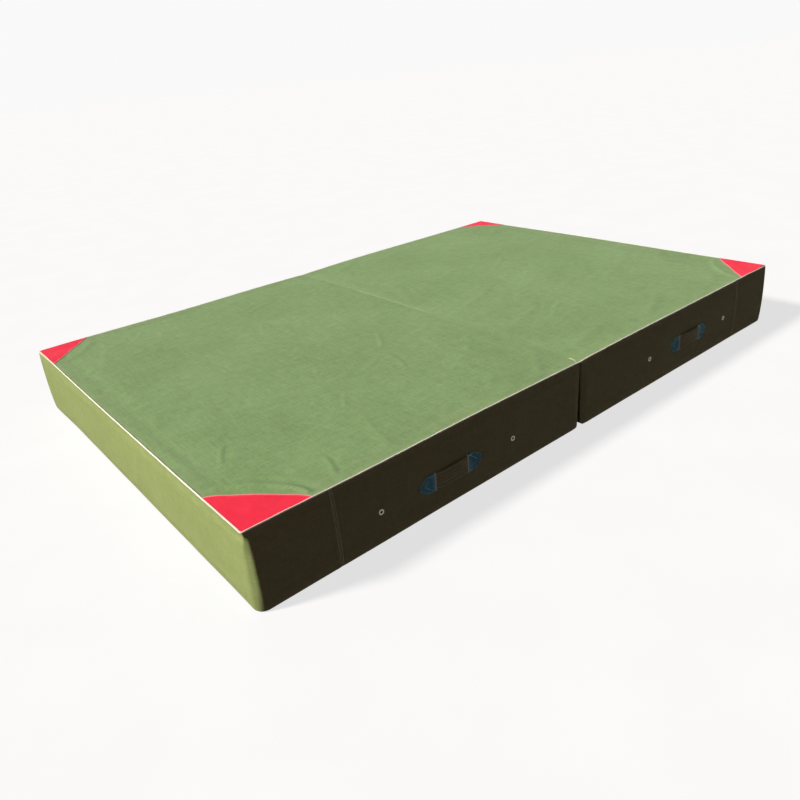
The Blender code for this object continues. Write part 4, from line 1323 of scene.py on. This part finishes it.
def make_handle_patch(side, face, label, way):
    """Blue five-sided patch sewn over the end of the strap, with its point outwards."""
    outward = FACES[face]
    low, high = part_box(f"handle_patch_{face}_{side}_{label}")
    start = low.x if way > 0 else high.x
    length, half, middle = high.x - low.x, (high.z - low.z) / 2, (low.z + high.z) / 2
    shoulder = length / 2
    reach, share = np.meshgrid(np.linspace(0.0, length, 49), np.linspace(-1.0, 1.0, 43), indexing="ij")
    taper = np.clip((length - reach) / (length - shoulder), 0.02, 1.0)
    height = half * np.minimum(taper, 1.0)
    x, z = start + way * reach, middle + share * height
    over_strap = ((1 - smoothstep(19 * MM, 29 * MM, reach))
                  * (1 - smoothstep(0.034, 0.0372, np.abs(z - middle))))
    hem = 1 - smoothstep(5.5 * MM, 7.5 * MM, reach)
    rim_gap = np.minimum(half * taper * (1 - np.abs(share)), length - reach)
    pressed = 0.5 * MM * bell(rim_gap - 4.0 * MM, 1.2 * MM)
    lift = PATCH_CLOTH + 0.3 * MM + 2.3 * MM * over_strap + 0.8 * MM * hem - pressed
    y = side_surface(side, face, x, z) + outward * lift
    points = np.stack([x, y, z], axis=-1)
    name = f"handle_cap_{face}_{side}_{label}"
    patch = add_shell(name, points, flat_cloth(x, z), BLUE, (0, outward, 0), thickness=PATCH_CLOTH,
                      extra={"hem": hem})
    stitches = add_patch_stitches(f"{name}_stitches", points, outward)
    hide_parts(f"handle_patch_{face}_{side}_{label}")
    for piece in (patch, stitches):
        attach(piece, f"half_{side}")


def add_patch_stitches(name, points, outward):
    """Stitch rows round the patch, beside its straight edge, and in a V towards its point."""
    rows, columns = points.shape[:2]
    margin = 3
    centre = columns // 2
    tip = rows - 5
    round_edge = [points[1:tip, margin], points[1:tip, columns - 1 - margin]]
    straight = [points[row, margin:columns - margin] for row in (4, 8)]
    steps = np.linspace(0.0, 1.0, 40)
    vee = []
    for side_column in (margin, columns - 1 - margin):
        row = np.round(8 + steps * (rows * 0.62 - 8)).astype(int)
        column = np.round(side_column + steps * (centre - side_column)).astype(int)
        vee.append(points[row, column])
    lines = round_edge + straight + vee
    return add_stitches(name, [(line, (0, outward, 0)) for line in lines], STITCH_BLUE, BLUE_THREAD,
                        0.7 * MM)


def make_eyelets(side, face):
    outward = FACES[face]
    barrel, bore, flange = 5.3 * MM, 4.9 * MM, 10.8 * MM
    turn = np.linspace(0.0, np.pi, 15)
    roll, middle = (flange - bore) / 2, (flange + bore) / 2
    crown = [(middle + roll * math.cos(t), 0.3 * MM + 1.9 * MM * math.sin(t) ** 0.85) for t in turn]
    back = [(bore, -4.0 * MM), (8.0 * MM, -4.2 * MM), (8.3 * MM, -3.6 * MM), (barrel, -3.2 * MM),
            (barrel, 0.2 * MM)]
    ring = [(5.7, -1.7), (10.2, -1.7), (10.5, -1.95), (10.5, -2.25), (10.2, -2.5), (5.7, -2.5)]
    washer = [(r * MM, z * MM) for r, z in ring]
    for number in (1, 2):
        seat = eyelet_seat(side, face, number)
        for kind, profile in (("vent_eyelet", crown + back), ("vent_washer", washer)):
            node = f"{kind}_{face}_{side}_{number}"
            label = "ring" if kind == "vent_eyelet" else "backing"
            piece = add_turned(f"vent_{label}_{face}_{side}_{number}", profile, seat, (0, outward, 0),
                               NICKEL)
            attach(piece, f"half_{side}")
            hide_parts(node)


def make_seam_stitches(side, face):
    """Two rows of stitches beside the gusset's seam."""
    outward = FACES[face]
    z = stretch(0.012, WALL_TOP - 0.004, 6 * MM)
    rows = []
    for shift in (-5.5, 4.5):
        x = SIDES[side] * (SEAM_OUT[side] + shift * MM) * np.ones_like(z)
        lift = rim_lift(x, outward * WIDTH_OUT) * smoothstep(0.15, WALL_TOP, z)
        y = side_surface(side, face, x, z) - outward * tuck(z)
        rows.append((np.stack([x, y, z + lift], axis=-1), (0, outward, 0)))
    name = f"seam_stitches_{face}_{side}"
    stitches = add_stitches(name, rows, STITCH_SEAM, GREEN_THREAD, 0.8 * MM)
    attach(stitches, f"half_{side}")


def finish_metal_nodes():
    """The zip's slider and pull keep their frame shape, and take the nickel finish."""
    for side in SIDES:
        for node in (f"zip_slider_{side}", f"zip_pull_{side}"):
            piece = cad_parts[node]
            piece.data.materials.clear()
            piece.data.materials.append(NICKEL)


# ================================================================ stage


def make_camera():
    """At the photograph's place and lens, with its slight tilt to one side."""
    azimuth, elevation, roll = math.radians(37.46), math.radians(26.83), math.radians(-5.58)
    ahead = Vector((
        math.sin(azimuth) * math.cos(elevation),
        math.cos(azimuth) * math.cos(elevation),
        -math.sin(elevation),
    ))
    level = Vector((math.cos(azimuth), -math.sin(azimuth), 0.0))
    up = level.cross(ahead)
    right = level * math.cos(roll) + up * math.sin(roll)
    up = right.cross(ahead)
    data = bpy.data.cameras.new("camera")
    data.lens = 31.62
    data.sensor_width = 36.0
    data.clip_end = 200.0
    camera = bpy.data.objects.new("camera", data)
    bpy.context.scene.collection.objects.link(camera)
    turn = Matrix((right, up, -ahead)).transposed()
    camera.matrix_world = Matrix.Translation((-2.087, -2.541, 1.465)) @ turn.to_4x4()
    bpy.context.scene.camera = camera


def add_light(name, kind, energy, colour, towards, size):
    data = bpy.data.lights.new(name, kind)
    data.energy = energy
    data.color = colour
    data.angle = size
    lamp = bpy.data.objects.new(name, data)
    lamp.rotation_mode = "QUATERNION"
    lamp.rotation_quaternion = Vector(towards).to_track_quat("-Z", "Y")
    bpy.context.scene.collection.objects.link(lamp)
    return lamp


def keep_light_off_the_mat(piece):
    """Keeps the pale surroundings from filling the mat's shaded sides; only its metal mirrors them."""
    piece.visible_diffuse = False
    piece.visible_shadow = False


def make_stage():
    """A pale floor inside a white dome, a low sun from the left, and a weak warm fill."""
    turn = np.linspace(0.0, 2 * np.pi, 49)[:-1]
    circle = BACKDROP_RADIUS * np.stack([np.cos(turn), np.sin(turn), np.zeros_like(turn)], axis=-1)
    floor = add_mesh("floor", circle, [list(range(len(turn)))], floor_finish())
    floor.location.z = -0.5 * MM
    rise = np.linspace(0.0, np.pi / 2, 13)[:-1]
    rings = [circle * math.cos(a) + (0, 0, BACKDROP_RADIUS * math.sin(a) - 0.1) for a in rise]
    index = np.arange(len(rise) * len(turn)).reshape(len(rise), len(turn))
    faces = grid_faces(np.hstack([index, index[:, :1]])) + [index[-1].tolist()]
    dome = add_mesh("backdrop", np.concatenate(rings), faces, backdrop_finish())
    for piece in (floor, dome):
        keep_light_off_the_mat(piece)
    add_light("key", "SUN", KEY_STRENGTH, (1.0, 0.965, 0.90), KEY_DIRECTION, KEY_SOFTNESS)
    world = bpy.data.worlds.new("studio")
    world.use_nodes = True
    background = world.node_tree.nodes["Background"]
    background.inputs["Color"].default_value = FILL_COLOUR
    background.inputs["Strength"].default_value = FILL_STRENGTH
    bpy.context.scene.world = world
    bpy.context.scene.view_settings.view_transform = "Standard"


def main():
    make_camera()
    make_top_cover()
    make_piping()
    for side in SIDES:
        make_end_gusset(side)
        make_base(side)
        make_fold_faces(side)
        make_zip(side)
        make_foam(side)
        for face in FACES:
            make_side_panel(side, face)
            make_seam_stitches(side, face)
            make_corner_patch(side, face)
            make_handle(side, face)
            make_eyelets(side, face)
    finish_metal_nodes()
    make_stage()


main()
